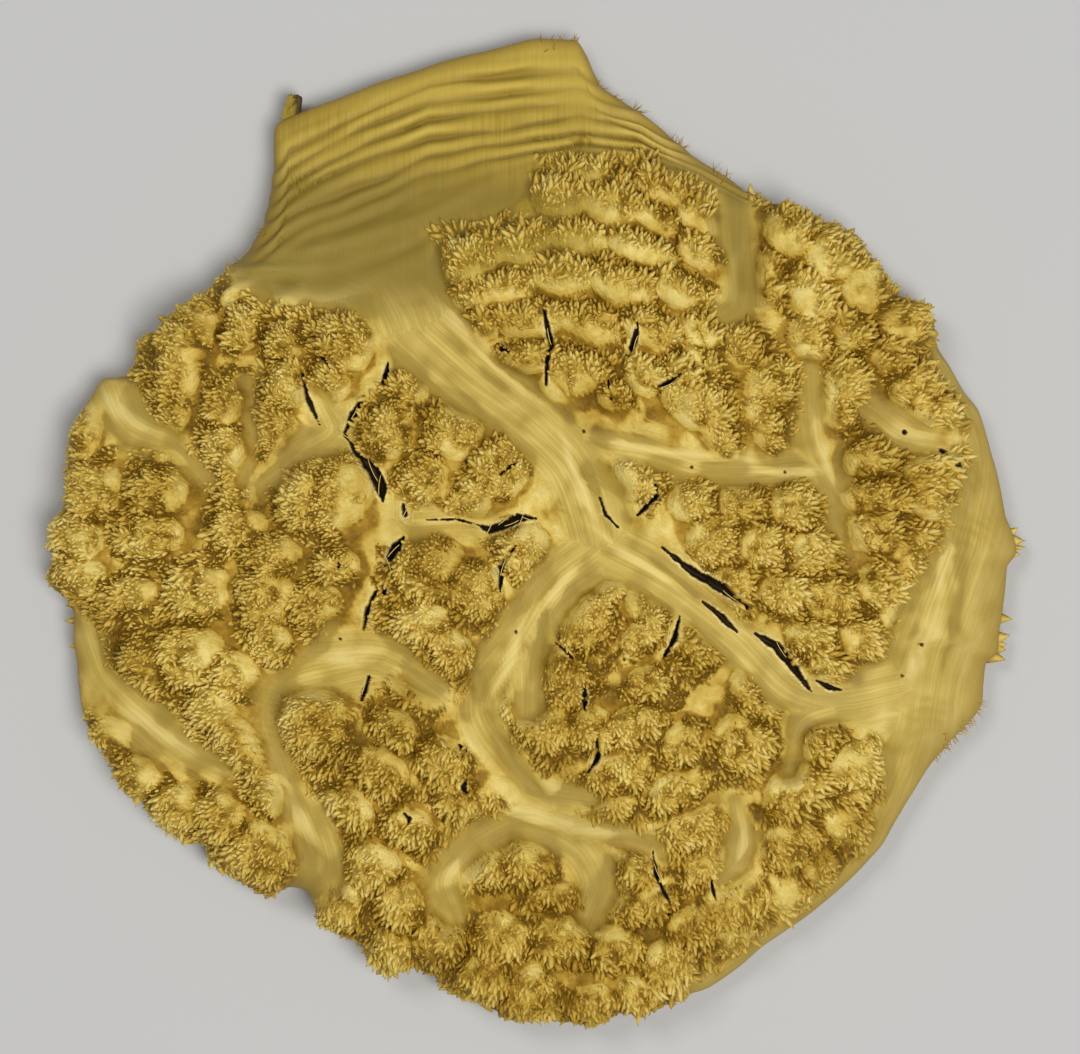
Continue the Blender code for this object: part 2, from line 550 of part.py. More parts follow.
def combine(slab, pieces, operation):
    """Cuts the pieces from the slab, or joins them to it, and removes them."""
    group = bpy.data.collections.new(operation.lower())
    bpy.context.scene.collection.children.link(group)
    for piece in pieces:
        bpy.context.scene.collection.objects.unlink(piece)
        group.objects.link(piece)
    change = slab.modifiers.new(operation.lower(), "BOOLEAN")
    change.operation = operation
    change.operand_type = "COLLECTION"
    change.collection = group
    change.solver = "EXACT"
    bpy.context.view_layer.objects.active = slab
    slab.select_set(True)
    bpy.ops.object.modifier_apply(modifier=change.name)
    for piece in pieces:
        bpy.data.objects.remove(piece)
    bpy.data.collections.remove(group)


def centre(slab):
    """Puts the middle of the slab's box over the origin, with its back on z = 0."""
    box = np.array([v.co for v in slab.data.vertices])
    low, high = box.min(axis=0), box.max(axis=0)
    shift = Vector((-(low[0] + high[0]) / 2, -(low[1] + high[1]) / 2, -low[2]))
    for vertex in slab.data.vertices:
        vertex.co += shift


def acacia_wood():
    """Pale golden debarked wood."""
    wood = bpy.data.materials.new("acacia_wood")
    wood.use_nodes = True
    finish = wood.node_tree.nodes["Principled BSDF"]
    finish.inputs["Base Color"].default_value = (0.60, 0.43, 0.15, 1.0)
    finish.inputs["Roughness"].default_value = 0.62
    finish.inputs["Metallic"].default_value = 0.0
    return wood


def main():
    for old in list(bpy.data.objects):
        bpy.data.objects.remove(old)
    slab = build_body()
    bpy.context.view_layer.update()
    cracks = [crack_wedge(name, stations, slab) for name, stations in CRACKS.items()]
    thorns = [thorn(number, tip, root) for number, (tip, root) in enumerate(THORNS)]
    combine(slab, thorns, "UNION")
    combine(slab, cracks, "DIFFERENCE")
    centre(slab)
    slab.data.materials.clear()
    slab.data.materials.append(acacia_wood())


main()
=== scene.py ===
"""Acacia burl slab, dressed: the debarked wood, its coat of prickles and its cracks."""

import math

import bpy
import numpy as np
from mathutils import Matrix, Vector, noise


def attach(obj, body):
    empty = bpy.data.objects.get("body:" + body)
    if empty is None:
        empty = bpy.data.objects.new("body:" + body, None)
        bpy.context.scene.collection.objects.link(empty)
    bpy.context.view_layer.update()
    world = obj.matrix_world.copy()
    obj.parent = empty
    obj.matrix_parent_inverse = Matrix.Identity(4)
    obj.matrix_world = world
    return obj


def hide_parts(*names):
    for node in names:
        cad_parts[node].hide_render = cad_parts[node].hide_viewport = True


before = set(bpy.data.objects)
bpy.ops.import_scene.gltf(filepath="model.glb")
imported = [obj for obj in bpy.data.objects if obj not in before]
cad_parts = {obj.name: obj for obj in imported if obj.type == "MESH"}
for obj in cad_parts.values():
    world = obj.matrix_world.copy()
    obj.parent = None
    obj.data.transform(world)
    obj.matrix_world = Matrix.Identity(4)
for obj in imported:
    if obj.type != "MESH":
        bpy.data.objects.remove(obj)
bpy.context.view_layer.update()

# Sizes in metres, as the solid has them
SLAB_WIDTH = 0.450
DOME_HEIGHT = 0.054
EDGE_HEIGHT = 0.015
NECK_EDGE_HEIGHT = 0.013
NECK_LIFT = 0.006
DOME_FOOT = 0.018
DOME_REACH = 0.185
DOME_OFFSET = 0.010
SHOULDER = 0.014
RIM_SHOULDER = 0.040
BACK_INSET = 0.006
CHANNEL_DEPTH = 0.0065
CHANNEL_BANK = 0.012
CHANNEL_FLOOR = 0.4
CHANNEL_BOWL = 0.15
BOWL_EDGE = 0.004
LOBE_CREST = 0.3
VIEW_HEIGHT = 1.5
LINE_REACH = 0.05

# Seeds of what is scattered
KNOB_SEED = 31
SPOT_SEED = 11
COAT_SEED = 23
SPLINTER_SEED = 5
STUB_SEED = 8

# Relief of the wood, in metres, and its shares
LOBE_SHARE = 1.35
KNOB_SPACING = 0.0090
KNOB_PLACES = np.random.default_rng(KNOB_SEED).random((64, 64, 3))
KNOB_RISE = 0.0022
RIPPLE_DEPTH = 0.0030
SWIRL_RISE = 0.0018
WRINKLE_RISE = 0.0013
FOLD_SHARE = 1.4
# Hollows are measured against the wood around: rounds of easing, and how deep a full one is
FINE_HOLLOW = (5, 0.00045)
BROAD_HOLLOW = (24, 0.0013)
# The grid is split once this near a crack or hole, and once more this near
SPLIT_NEAR = (0.0022, 0.0008)

# Unevenness of the wood: how far it goes, over how many metres, and which noise it is.
# How far is metres for edges and cracks, pixels of the picture for ripples, radians for
# turns, and a plain share for the others
CHANNEL_WAVER = (0.0028, 0.022, 13.0)
RAGGED_EDGE = (0.0052, 0.011, 3.0)
SMALL_PATCHES = (0.9, 0.009, 7.0)
LARGE_PATCHES = (0.4, 0.05, 8.0)
SWIRLS = (1.0, 0.016, 5.0)
WRINKLES = (1.0, 0.010, 15.0)
KNOB_WAVER = ((0.0016, 0.006, 21.0), (0.0016, 0.006, 22.0))
KNOB_UNEVEN = (0.35, 0.0050, 11.0)
RIPPLE_WAVER = (4.0, 0.022, 9.0)
PRICKLE_TURNS = (0.8, 0.007, 1.0)
PRICKLE_SIZES = (0.3, 0.015, 4.0)
CRACK_WAVER = (0.0006, 0.0045, 0.0)
CRACK_TEETH = (0.0003, 0.0015, 0.0)

# Depth of a crack: at least, more for each metre of its half width, and at most
CRACK_DEPTH = (0.003, 2.2, 0.010)
HOLE_DEPTH = 2.6

# The coat of prickles starts this far from a channel, and later on its outer bank
COAT_EDGE = (0.0003, 0.0040)
BARE_BANK = 0.0040
# Inner aprons of the lobes are bare: from and to how far out, and how much further out
# on the terraces right of the neck
BARE_APRON = (-0.80, -0.25)
TERRACE_APRON = 0.38
HOLE_BORDER = (0.0008, 0.0030)

# The picture's frame, and the spot under its middle. The solid's box is centred, which
# moved the slab by BOX_SHIFT.
PICTURE = (1080, 1054)
PICTURE_CENTRE = (538.5, 528.5)
PICTURE_SCALE = SLAB_WIDTH / 977.0
BOX_SHIFT = (0.00174, 0.00302)

# Shares of the flat grid that become the face and the shoulder
GRID_CELLS = 230
TOP_SHARE = 0.80
SHOULDER_SHARE = 0.93
BACK_RING = 0.72

# The outline, read round the picture: column and row
OUTLINE = [
    (278, 120), (310, 106), (350, 91), (400, 73), (450, 57), (500, 45), (545, 36), (575, 38),
    (586, 52), (594, 70), (604, 86), (636, 107), (668, 132), (705, 162), (735, 180), (765, 202),
    (798, 212), (818, 228), (840, 234), (860, 250), (877, 274), (888, 298), (910, 307), (928, 322),
    (937, 343), (950, 364), (965, 390), (981, 412), (992, 448), (1001, 482), (1007, 515),
    (1014, 534), (1018, 552), (1009, 568), (1006, 600), (1001, 630), (1000, 652), (988, 664),
    (985, 685), (983, 706), (966, 728), (948, 746), (925, 776), (901, 815), (880, 850),
    (850, 882), (815, 912), (772, 942), (735, 972), (703, 992), (680, 998), (650, 1007),
    (622, 1010), (592, 1020), (565, 1017), (540, 1009), (510, 1017), (492, 1003), (455, 988),
    (420, 964), (386, 964), (365, 939), (328, 925), (305, 893), (288, 888), (268, 893),
    (238, 877), (215, 860), (207, 842), (188, 840), (160, 818), (143, 799), (124, 775),
    (111, 758), (106, 741), (90, 726), (86, 705), (79, 684), (76, 664), (72, 640), (72, 610),
    (66, 596), (52, 585), (53, 568), (61, 550), (60, 524), (69, 500), (70, 472), (74, 443),
    (87, 412), (95, 388), (103, 378), (122, 376), (138, 363), (142, 345), (160, 332),
    (195, 307), (218, 280), (240, 257), (257, 232), (267, 200), (272, 165),
]

# Smooth channels of straight grain: stations of column, row and half width
CHANNELS = {
    "neck_end": [(325, 115, 66), (450, 92, 62), (560, 92, 62)],
    "neck_right": [(560, 92, 60), (655, 138, 18), (735, 186, 14)],
    "neck_foot": [(300, 185, 100), (400, 172, 66), (472, 160, 60)],
    "neck_root": [(290, 235, 68), (365, 250, 62), (404, 290, 38), (425, 335, 38)],
    "main": [(425, 335, 40), (480, 383, 27), (530, 420, 25), (572, 462, 28), (592, 510, 30),
             (602, 548, 30)],
    "main_lower": [(602, 548, 30), (650, 572, 22), (700, 607, 20), (745, 645, 18),
                   (790, 690, 17), (840, 702, 18), (900, 690, 40)],
    "left_fork": [(600, 550, 28), (550, 590, 24), (520, 640, 22), (488, 680, 18),
                  (480, 715, 17), (505, 755, 12), (540, 790, 10), (590, 800, 8)],
    "centre_fork": [(545, 600, 18), (530, 655, 14), (528, 705, 10)],
    "bottom_plain": [(470, 845, 12), (520, 822, 14), (575, 842, 22), (600, 880, 14),
                     (590, 912, 10)],
    "bottom_plain_left": [(470, 845, 14), (445, 880, 14), (455, 915, 10)],
    "bottom_plain_right": [(575, 835, 20), (625, 835, 10), (660, 850, 6)],
    "lower_left_groove": [(345, 665, 24), (290, 680, 12), (268, 712, 9), (282, 762, 9),
                          (312, 830, 18), (322, 868, 20), (303, 892, 14)],
    "left_skirt": [(82, 632, 16), (102, 680, 14), (148, 722, 19), (186, 752, 12), (235, 776, 5)],
    "left_plain": [(330, 655, 22), (385, 655, 18), (440, 690, 10)],
    "crack_bank": [(300, 452, 12), (332, 432, 15), (322, 405, 9)],
    "crack_bank_low": [(400, 500, 9), (406, 525, 12), (450, 523, 6), (490, 526, 4)],
    "crack_bank_left": [(300, 452, 11), (262, 482, 6)],
    "right_ridge": [(585, 440, 8), (640, 448, 12), (700, 468, 12), (760, 470, 12), (812, 470, 10),
                    (832, 515, 6), (850, 560, 4)],
    "right_notch": [(808, 370, 5), (812, 440, 12), (832, 480, 8)],
    "right_plain": [(872, 408, 9), (905, 432, 14), (942, 440, 7)],
    "neck_notch": [(735, 190, 18), (738, 240, 14), (742, 300, 11), (724, 320, 7)],
    "upper_left_shelf": [(112, 392, 18), (132, 425, 20), (175, 445, 8), (205, 475, 5)],
    "left_seam": [(248, 385, 3), (256, 450, 3), (245, 480, 4)],
    "lower_right_notch": [(735, 800, 9), (742, 850, 11), (722, 880, 5)],
    "lower_right_shelf": [(840, 705, 14), (800, 722, 9), (788, 770, 4)],
    "rim": [(940, 352, 6), (975, 405, 9), (990, 460, 17), (980, 530, 32), (957, 600, 42),
            (932, 670, 52), (922, 740, 36), (902, 800, 17), (873, 856, 7), (812, 912, 3),
            (746, 960, 3), (698, 992, 2)],
}

# Lobes: column and row of the middle, half length towards the rim, half width across
# it, and rise in millimetres
LOBES = [
    (585, 172, 13, 20, 5), (562, 200, 22, 28, 6), (612, 208, 22, 32, 6), (668, 188, 20, 34, 6),
    (702, 214, 24, 30, 6), (655, 222, 15, 30, 5), (470, 262, 24, 36, 7), (520, 248, 20, 30, 6),
    (575, 240, 16, 34, 5), (640, 252, 16, 36, 6), (700, 252, 16, 26, 5), (495, 292, 18, 48, 6),
    (560, 278, 20, 34, 6), (622, 286, 22, 34, 7), (680, 292, 18, 32, 6), (478, 325, 16, 30, 5),
    (530, 322, 18, 36, 6), (590, 325, 18, 34, 5), (650, 330, 18, 34, 6), (703, 332, 18, 24, 5),
    (528, 358, 16, 30, 5), (580, 372, 20, 32, 5), (612, 395, 14, 18, 4), (645, 378, 16, 24, 5),
    (692, 396, 26, 42, 6), (740, 350, 22, 22, 5), (770, 385, 28, 24, 5), (765, 425, 16, 36, 5),
    (716, 432, 14, 34, 4), (705, 362, 12, 30, 4),
    (788, 234, 22, 26, 6), (832, 258, 24, 34, 6), (770, 266, 14, 14, 5), (862, 290, 24, 28, 6),
    (758, 292, 16, 24, 5), (812, 300, 20, 34, 5), (902, 322, 24, 24, 6), (850, 330, 20, 26, 5),
    (892, 356, 24, 26, 5), (808, 340, 18, 26, 5), (845, 382, 24, 24, 5), (915, 385, 28, 22, 5),
    (840, 412, 18, 20, 4), (936, 414, 22, 18, 5), (872, 458, 30, 20, 6), (935, 470, 34, 22, 6),
    (880, 496, 38, 18, 5), (938, 502, 28, 18, 5), (870, 532, 34, 20, 5), (915, 548, 24, 24, 5),
    (882, 585, 28, 24, 5), (902, 615, 20, 22, 5),
    (638, 476, 26, 24, 6), (692, 500, 22, 24, 5), (742, 504, 26, 24, 5), (795, 506, 28, 24, 6),
    (712, 540, 24, 26, 5), (765, 545, 26, 24, 5), (812, 552, 26, 24, 5), (730, 588, 22, 22, 5),
    (782, 594, 26, 20, 6), (830, 600, 28, 22, 5), (812, 640, 26, 20, 5), (862, 640, 26, 20, 5),
    (830, 672, 20, 16, 4),
    (602, 586, 20, 30, 6), (650, 602, 24, 24, 6), (586, 626, 22, 26, 5), (640, 636, 14, 24, 4),
    (566, 678, 30, 22, 5), (703, 636, 24, 24, 6), (645, 682, 16, 20, 4), (760, 690, 28, 28, 6),
    (545, 728, 24, 30, 6), (592, 730, 22, 24, 5), (635, 722, 18, 30, 5), (685, 742, 20, 26, 5),
    (742, 742, 30, 28, 5), (618, 772, 20, 34, 5), (680, 786, 18, 34, 5), (612, 806, 14, 24, 4),
    (815, 738, 24, 24, 4), (795, 792, 26, 36, 6), (855, 770, 24, 34, 5), (848, 830, 26, 20, 5),
    (788, 842, 22, 28, 6), (690, 828, 18, 42, 5), (708, 862, 18, 26, 5), (625, 868, 22, 30, 6),
    (640, 904, 18, 34, 5), (820, 866, 22, 20, 5), (735, 900, 24, 34, 6), (792, 898, 24, 22, 5),
    (690, 925, 20, 26, 5), (740, 935, 20, 26, 4),
    (525, 862, 22, 30, 6), (486, 866, 18, 20, 5), (550, 895, 12, 26, 4), (372, 868, 26, 32, 6),
    (340, 902, 24, 24, 6), (400, 902, 24, 26, 6), (440, 936, 26, 26, 6), (392, 944, 20, 24, 6),
    (500, 935, 24, 30, 6), (560, 935, 24, 28, 6), (482, 975, 22, 28, 6), (532, 988, 24, 26, 6),
    (592, 1000, 18, 22, 5), (615, 945, 22, 26, 6), (668, 962, 26, 28, 6), (640, 990, 16, 26, 5),
    (190, 655, 34, 30, 6), (148, 665, 28, 28, 6), (232, 675, 26, 24, 5), (215, 708, 20, 28, 5),
    (240, 745, 22, 36, 6), (312, 720, 34, 36, 9), (94, 702, 14, 20, 5), (112, 735, 18, 20, 6),
    (140, 775, 18, 22, 6), (180, 805, 20, 24, 6), (222, 812, 24, 24, 6), (262, 850, 28, 30, 6),
    (272, 795, 20, 20, 6), (290, 840, 20, 18, 5),
    (380, 770, 22, 30, 6), (350, 806, 16, 28, 6), (398, 728, 16, 26, 5), (442, 758, 22, 24, 6),
    (462, 800, 20, 26, 6), (410, 828, 20, 26, 5), (496, 690, 22, 20, 5), (408, 690, 12, 24, 4),
    (190, 338, 24, 42, 6), (245, 330, 20, 22, 5), (284, 342, 20, 18, 6), (345, 345, 28, 26, 6),
    (330, 380, 22, 20, 5), (412, 384, 18, 22, 5), (288, 385, 22, 24, 6), (272, 428, 26, 24, 5),
    (180, 375, 22, 34, 5), (225, 405, 20, 24, 5), (225, 450, 24, 28, 5), (175, 408, 20, 24, 4),
    (88, 430, 14, 40, 5), (100, 490, 26, 30, 6), (158, 490, 30, 24, 6), (240, 492, 18, 24, 5),
    (80, 540, 24, 26, 6), (85, 578, 26, 22, 6), (150, 535, 34, 22, 5), (240, 525, 26, 22, 5),
    (200, 590, 32, 26, 5), (270, 600, 30, 30, 6), (325, 490, 44, 42, 8), (340, 566, 20, 16, 5),
    (312, 605, 30, 22, 5), (125, 595, 34, 18, 5), (270, 640, 22, 20, 5), (275, 555, 26, 18, 5),
    (395, 430, 26, 30, 5), (455, 430, 28, 30, 6), (500, 470, 26, 30, 6), (425, 480, 28, 26, 5),
    (470, 500, 20, 26, 5), (430, 570, 34, 34, 6), (475, 590, 26, 28, 6), (525, 552, 26, 24, 6),
    (420, 622, 24, 26, 5), (450, 648, 16, 34, 5),
]

# Curly figure across the neck: for each column, the rows of its dark valleys in order
NECK_VALLEYS = {
    255: (182, 198, 214, 230, 250, 268, 290),
    290: (160, 176, 193, 208, 224, 242, 262),
    330: (141, 152, 169, 181, 206, 223, 242),
    380: (109, 130, 148, 162, 188, 203, 220),
    430: (88, 108, 125, 146, 165, 184, 202),
    480: (84, 105, 119, 140, 155, 170, 186),
    530: (80, 99, 114, 133, 147, 160, 172),
    580: (80, 96, 113, 124, 140, 151, 163),
    640: (92, 111, 127, 135, 147, 156, 166),
    700: (118, 138, 152, 162, 171, 178, 186),
    760: (150, 168, 182, 192, 200, 207, 214),
}

# Raised and sunken folds of the smooth wood: column, row, half length, half width, heading
# in degrees, and height in millimetres
FOLDS = [
    (468, 736, 46, 8, -58, 1.6), (494, 728, 62, 9, -64, -2.0), (551, 785, 10, 7, 0, 2.6),
    (520, 812, 40, 7, -20, 1.6), (590, 832, 36, 8, -8, 1.4), (455, 868, 24, 7, 60, 1.2),
    (262, 268, 56, 6, -3, 2.4), (287, 297, 13, 11, 0, 3.0), (235, 287, 26, 7, 20, 1.7),
    (335, 292, 34, 9, 8, 1.7), (420, 215, 60, 7, 22, 1.1), (330, 245, 52, 7, 14, 1.2),
    (400, 252, 42, 6, 24, -1.2), (360, 222, 50, 5, 20, -1.0), (455, 320, 60, 6, -42, 1.1),
    (500, 372, 50, 5, -40, 1.2), (530, 385, 46, 5, -42, -1.1), (578, 480, 44, 6, -66, 1.3),
    (598, 500, 40, 5, -72, -1.2), (690, 455, 62, 5, -6, 1.7), (790, 472, 30, 5, 0, 1.4),
    (640, 562, 56, 5, -33, 1.3), (700, 598, 50, 5, -36, -1.2), (556, 592, 34, 6, 50, 1.3),
    (510, 660, 34, 5, 68, 1.2), (540, 640, 36, 5, 80, -1.1), (948, 560, 34, 7, 80, 1.3),
    (975, 470, 34, 5, 76, 1.0), (930, 640, 44, 8, 66, 1.0), (962, 610, 60, 6, 80, -0.9),
    (160, 735, 40, 7, -34, 1.6), (115, 410, 26, 8, -42, 1.6), (345, 660, 30, 8, 4, 1.4),
    (280, 700, 30, 5, 80, -1.4), (300, 820, 34, 6, -60, 1.2), (742, 850, 24, 6, 78, 1.2),
    (738, 250, 40, 6, 88, 1.2), (830, 470, 40, 5, -70, 1.2), (905, 435, 26, 7, -12, 1.3),
]

# Drying cracks: stations of column, row and full width
CRACKS = [
    [(388, 362, 2), (386, 378, 7), (380, 392, 2)],
    [(364, 396, 2), (354, 414, 9), (344, 432, 2)],
    [(344, 434, 2), (360, 457, 6), (373, 470, 12), (381, 486, 13), (383, 502, 2)],
    [(404, 537, 2), (396, 548, 12), (385, 566, 3)],
    [(385, 578, 2), (384, 590, 6), (383, 598, 2)],
    [(377, 590, 2), (368, 608, 6), (363, 632, 1.5)],
    [(425, 520, 1), (455, 519, 2.5), (476, 524, 1.5)],
    [(476, 524, 2), (490, 530, 8), (503, 526, 9), (518, 518, 10), (536, 518, 2)],
    [(515, 546, 2), (502, 566, 6), (500, 592, 2)],
    [(303, 372, 2), (307, 398, 5), (319, 424, 1.5)],
    [(322, 357, 1.5), (328, 364, 4), (334, 372, 1.5)],
    [(543, 308, 2), (547, 325, 6), (551, 345, 7), (547, 362, 5), (546, 385, 2)],
    [(637, 325, 2), (634, 342, 8), (626, 360, 3)],
    [(608, 380, 1.5), (609, 390, 3), (611, 400, 1.5)],
    [(600, 497, 2), (606, 515, 3), (618, 527, 2)],
    [(655, 480, 2), (657, 495, 5), (645, 508, 5), (638, 515, 2)],
    [(655, 388, 2), (668, 383, 6), (680, 375, 2)],
    [(497, 345, 2), (503, 349, 6), (508, 352, 2)],
    [(500, 475, 1.5), (508, 468, 3), (516, 464, 1.5)],
    [(403, 505, 3), (405, 515, 5)],
    [(662, 547, 2), (692, 571, 8), (722, 588, 10), (752, 611, 2)],
    [(703, 602, 2), (722, 617, 7), (737, 632, 2)],
    [(756, 634, 3), (776, 646, 10), (793, 666, 9), (812, 692, 2)],
    [(816, 680, 2), (830, 688, 6), (842, 690, 2)],
    [(680, 616, 2), (674, 640, 7), (663, 658, 2)],
    [(556, 643, 2), (565, 650, 5), (572, 658, 2)],
    [(585, 682, 2), (584, 695, 7), (585, 710, 2)],
    [(597, 737, 2), (598, 757, 6), (588, 772, 2)],
    [(369, 677, 2), (366, 688, 5), (362, 700, 2)],
    [(653, 852, 2), (656, 876, 6), (671, 905, 2)],
    [(711, 875, 1.5), (712, 885, 4), (714, 895, 1.5)],
    [(459, 744, 1.5), (464, 750, 6), (461, 758, 1.5)],
    [(467, 779, 1.5), (464, 786, 6), (468, 792, 2)],
    [(405, 813, 1.5), (410, 817, 5), (409, 823, 1.5)],
    [(336, 559, 1.5), (341, 565, 4), (337, 571, 1.5)],
]

# Insect holes: column, row and radius
HOLES = [
    (905, 432, 3), (943, 452, 4), (951, 466, 4), (584, 431, 1.8), (692, 467, 1.8), (785, 472, 1.8),
    (516, 632, 1.8), (340, 639, 1.8), (624, 659, 1.8), (903, 676, 1.8), (923, 645, 2.2),
]

# Loose fibres and thorns along the edge: column, row, how many, how far they are spread,
# heading in degrees, length and radius in millimetres
SPLINTERS = [
    (1014, 541, 1, 0, 2, 8.5, 4.6), (1010, 533, 1, 0, 20, 6.5, 3.4),
    (1012, 553, 1, 0, -14, 6.8, 3.6), (1019, 545, 3, 4, -4, 4.4, 1.5),
    (1000, 618, 1, 0, 2, 8.6, 3.8), (998, 638, 1, 0, 8, 8.2, 4.4),
    (997, 648, 1, 0, -2, 7.2, 4.2), (995, 657, 1, 0, -14, 7.0, 3.6),
    (1002, 645, 2, 5, 0, 4.2, 1.6), (72, 621, 1, 0, 182, 5.0, 2.2),
    (74, 646, 1, 0, 200, 5.0, 2.2), (62, 578, 2, 3, 176, 4.5, 1.6),
    (588, 1010, 1, 0, 272, 5.0, 2.0), (951, 742, 26, 10, -52, 4.6, 0.22),
    (968, 727, 22, 10, -40, 4.6, 0.22), (982, 708, 12, 6, -25, 4.0, 0.2),
    (888, 293, 12, 8, 62, 6.0, 0.22), (552, 40, 14, 13, 74, 3.6, 0.22),
    (574, 38, 8, 4, 50, 4.2, 0.26), (636, 110, 9, 5, 25, 5.0, 0.24),
    (680, 143, 10, 7, 55, 4.6, 0.22), (722, 176, 12, 9, 60, 5.2, 0.22),
    (762, 200, 8, 10, 66, 4.0, 0.22), (233, 268, 14, 8, 160, 5.0, 0.24),
    (262, 232, 8, 7, 165, 4.4, 0.2), (600, 84, 8, 7, 20, 3.5, 0.2),
    (618, 98, 6, 6, 30, 3.5, 0.2), (940, 756, 10, 8, -55, 3.6, 0.2),
]

# Pale fibres torn loose across the cracks: column, row, heading in degrees and length in
# millimetres
TORN_FIBRES = [
    (374, 474, 292, 7.0), (379, 488, 262, 6.0), (398, 508, 300, 4.0), (404, 514, 240, 4.0),
    (408, 520, 20, 4.0), (400, 524, 330, 4.5), (413, 516, 80, 3.5), (392, 552, 225, 5.0),
    (388, 560, 110, 5.0), (478, 530, 345, 3.5), (490, 528, 60, 3.5), (506, 519, 40, 4.5),
    (514, 523, 20, 4.5), (522, 519, 65, 3.5), (530, 520, 340, 4.0), (502, 569, 250, 5.0),
    (549, 340, 280, 5.0), (634, 345, 250, 4.0), (356, 412, 60, 4.0), (345, 436, 320, 4.0),
    (371, 612, 240, 4.5), (365, 684, 75, 5.0), (730, 597, 320, 5.0), (782, 652, 300, 5.5),
    (668, 386, 20, 4.0), (668, 634, 265, 5.0), (588, 760, 250, 4.5), (657, 872, 290, 5.0),
]

# The split corner of the neck's end: column, row, heading in degrees and size in metres
STUB = (293, 110, 78.0, (0.0070, 0.0115, 0.0055))
STUB_HEIGHT = 0.0115
STUB_RAGGED = (0.0005, 0.0014, 0.0006)


def on_slab(column, row, height=0.0):
    """Where a spot of the picture lies, for a surface that is height above the floor."""
    nearer = 1.0 - height / VIEW_HEIGHT
    x = (np.asarray(column, float) - PICTURE_CENTRE[0]) * PICTURE_SCALE * nearer
    y = (PICTURE_CENTRE[1] - np.asarray(row, float)) * PICTURE_SCALE * nearer
    return x, y


def smooth(low, high, value):
    t = np.clip((value - low) / (high - low), 0.0, 1.0)
    return t * t * (3.0 - 2.0 * t)


def grain_noise(x, y, size, z):
    """Even noise from -1 to 1 that changes over size metres."""
    flat = zip(np.ravel(x) / size, np.ravel(y) / size)
    values = np.array([noise.noise((a, b, z)) for a, b in flat])
    return values.reshape(np.shape(x))


def uneven(x, y, kind):
    """Noise of one kind: how far it goes, over how many metres, and which noise it is."""
    far, size, layer = kind
    return far * grain_noise(x, y, size, layer)


def dome(x, y):
    reach = np.hypot(x, y + DOME_OFFSET) / DOME_REACH
    return DOME_FOOT + (DOME_HEIGHT - DOME_FOOT) * np.exp(-(reach ** 3))


def feature_spot(column, row):
    x, y = on_slab(column, row)
    return on_slab(column, row, dome(x, y))


def outline_curve():
    columns, rows = np.array(OUTLINE, float).T
    x, y = on_slab(columns, rows, EDGE_HEIGHT)
    angle, radius = np.arctan2(y, x), np.hypot(x, y)
    order = np.argsort(angle)
    angle, radius = angle[order], radius[order]
    turn = 2.0 * math.pi
    angle = np.concatenate([angle[-2:] - turn, angle, angle[:2] + turn])
    radius = np.concatenate([radius[-2:], radius, radius[:2]])
    return angle, radius


OUTLINE_ANGLE, OUTLINE_RADIUS = outline_curve()


def outline_radius(angle):
    """Distance from the middle to the outline: a curve that bends only at its points."""
    wrapped = np.arctan2(np.sin(angle), np.cos(angle))
    k = np.clip(np.searchsorted(OUTLINE_ANGLE, wrapped) - 1, 1, len(OUTLINE_ANGLE) - 3)
    step = np.diff(OUTLINE_ANGLE)
    slope = np.diff(OUTLINE_RADIUS) / step

    def bend(i):
        same_way = slope[i - 1] * slope[i] > 0.0
        mean = 2.0 * slope[i - 1] * slope[i] / (slope[i - 1] + slope[i] + 1e-12)
        return np.where(same_way, mean, 0.0)

    h = step[k]
    t = (wrapped - OUTLINE_ANGLE[k]) / h
    return (
        OUTLINE_RADIUS[k] * (1 + 2 * t) * (1 - t) ** 2
        + h * bend(k) * t * (1 - t) ** 2
        + OUTLINE_RADIUS[k + 1] * t * t * (3 - 2 * t)
        + h * bend(k + 1) * t * t * (t - 1)
    )


def curved(stations, steps=4):
    """The stations of a line with others put between them, so that it bends smoothly."""
    points = np.array(stations, float)
    if len(points) < 3:
        return points
    ends = np.vstack([2 * points[0] - points[1], points, 2 * points[-1] - points[-2]])
    a, b, c, d = (ends[k:len(ends) - 3 + k, None] for k in range(4))
    t = (np.arange(steps) / steps)[None, :, None]
    between = b + 0.5 * t * (c - a + t * (2 * a - 5 * b + 4 * c - d + t * (3 * b - a - 3 * c + d)))
    return np.vstack([between.reshape(-1, points.shape[1]), points[-1:]])


CURVED_CHANNELS = {name: curved(stations) for name, stations in CHANNELS.items()}


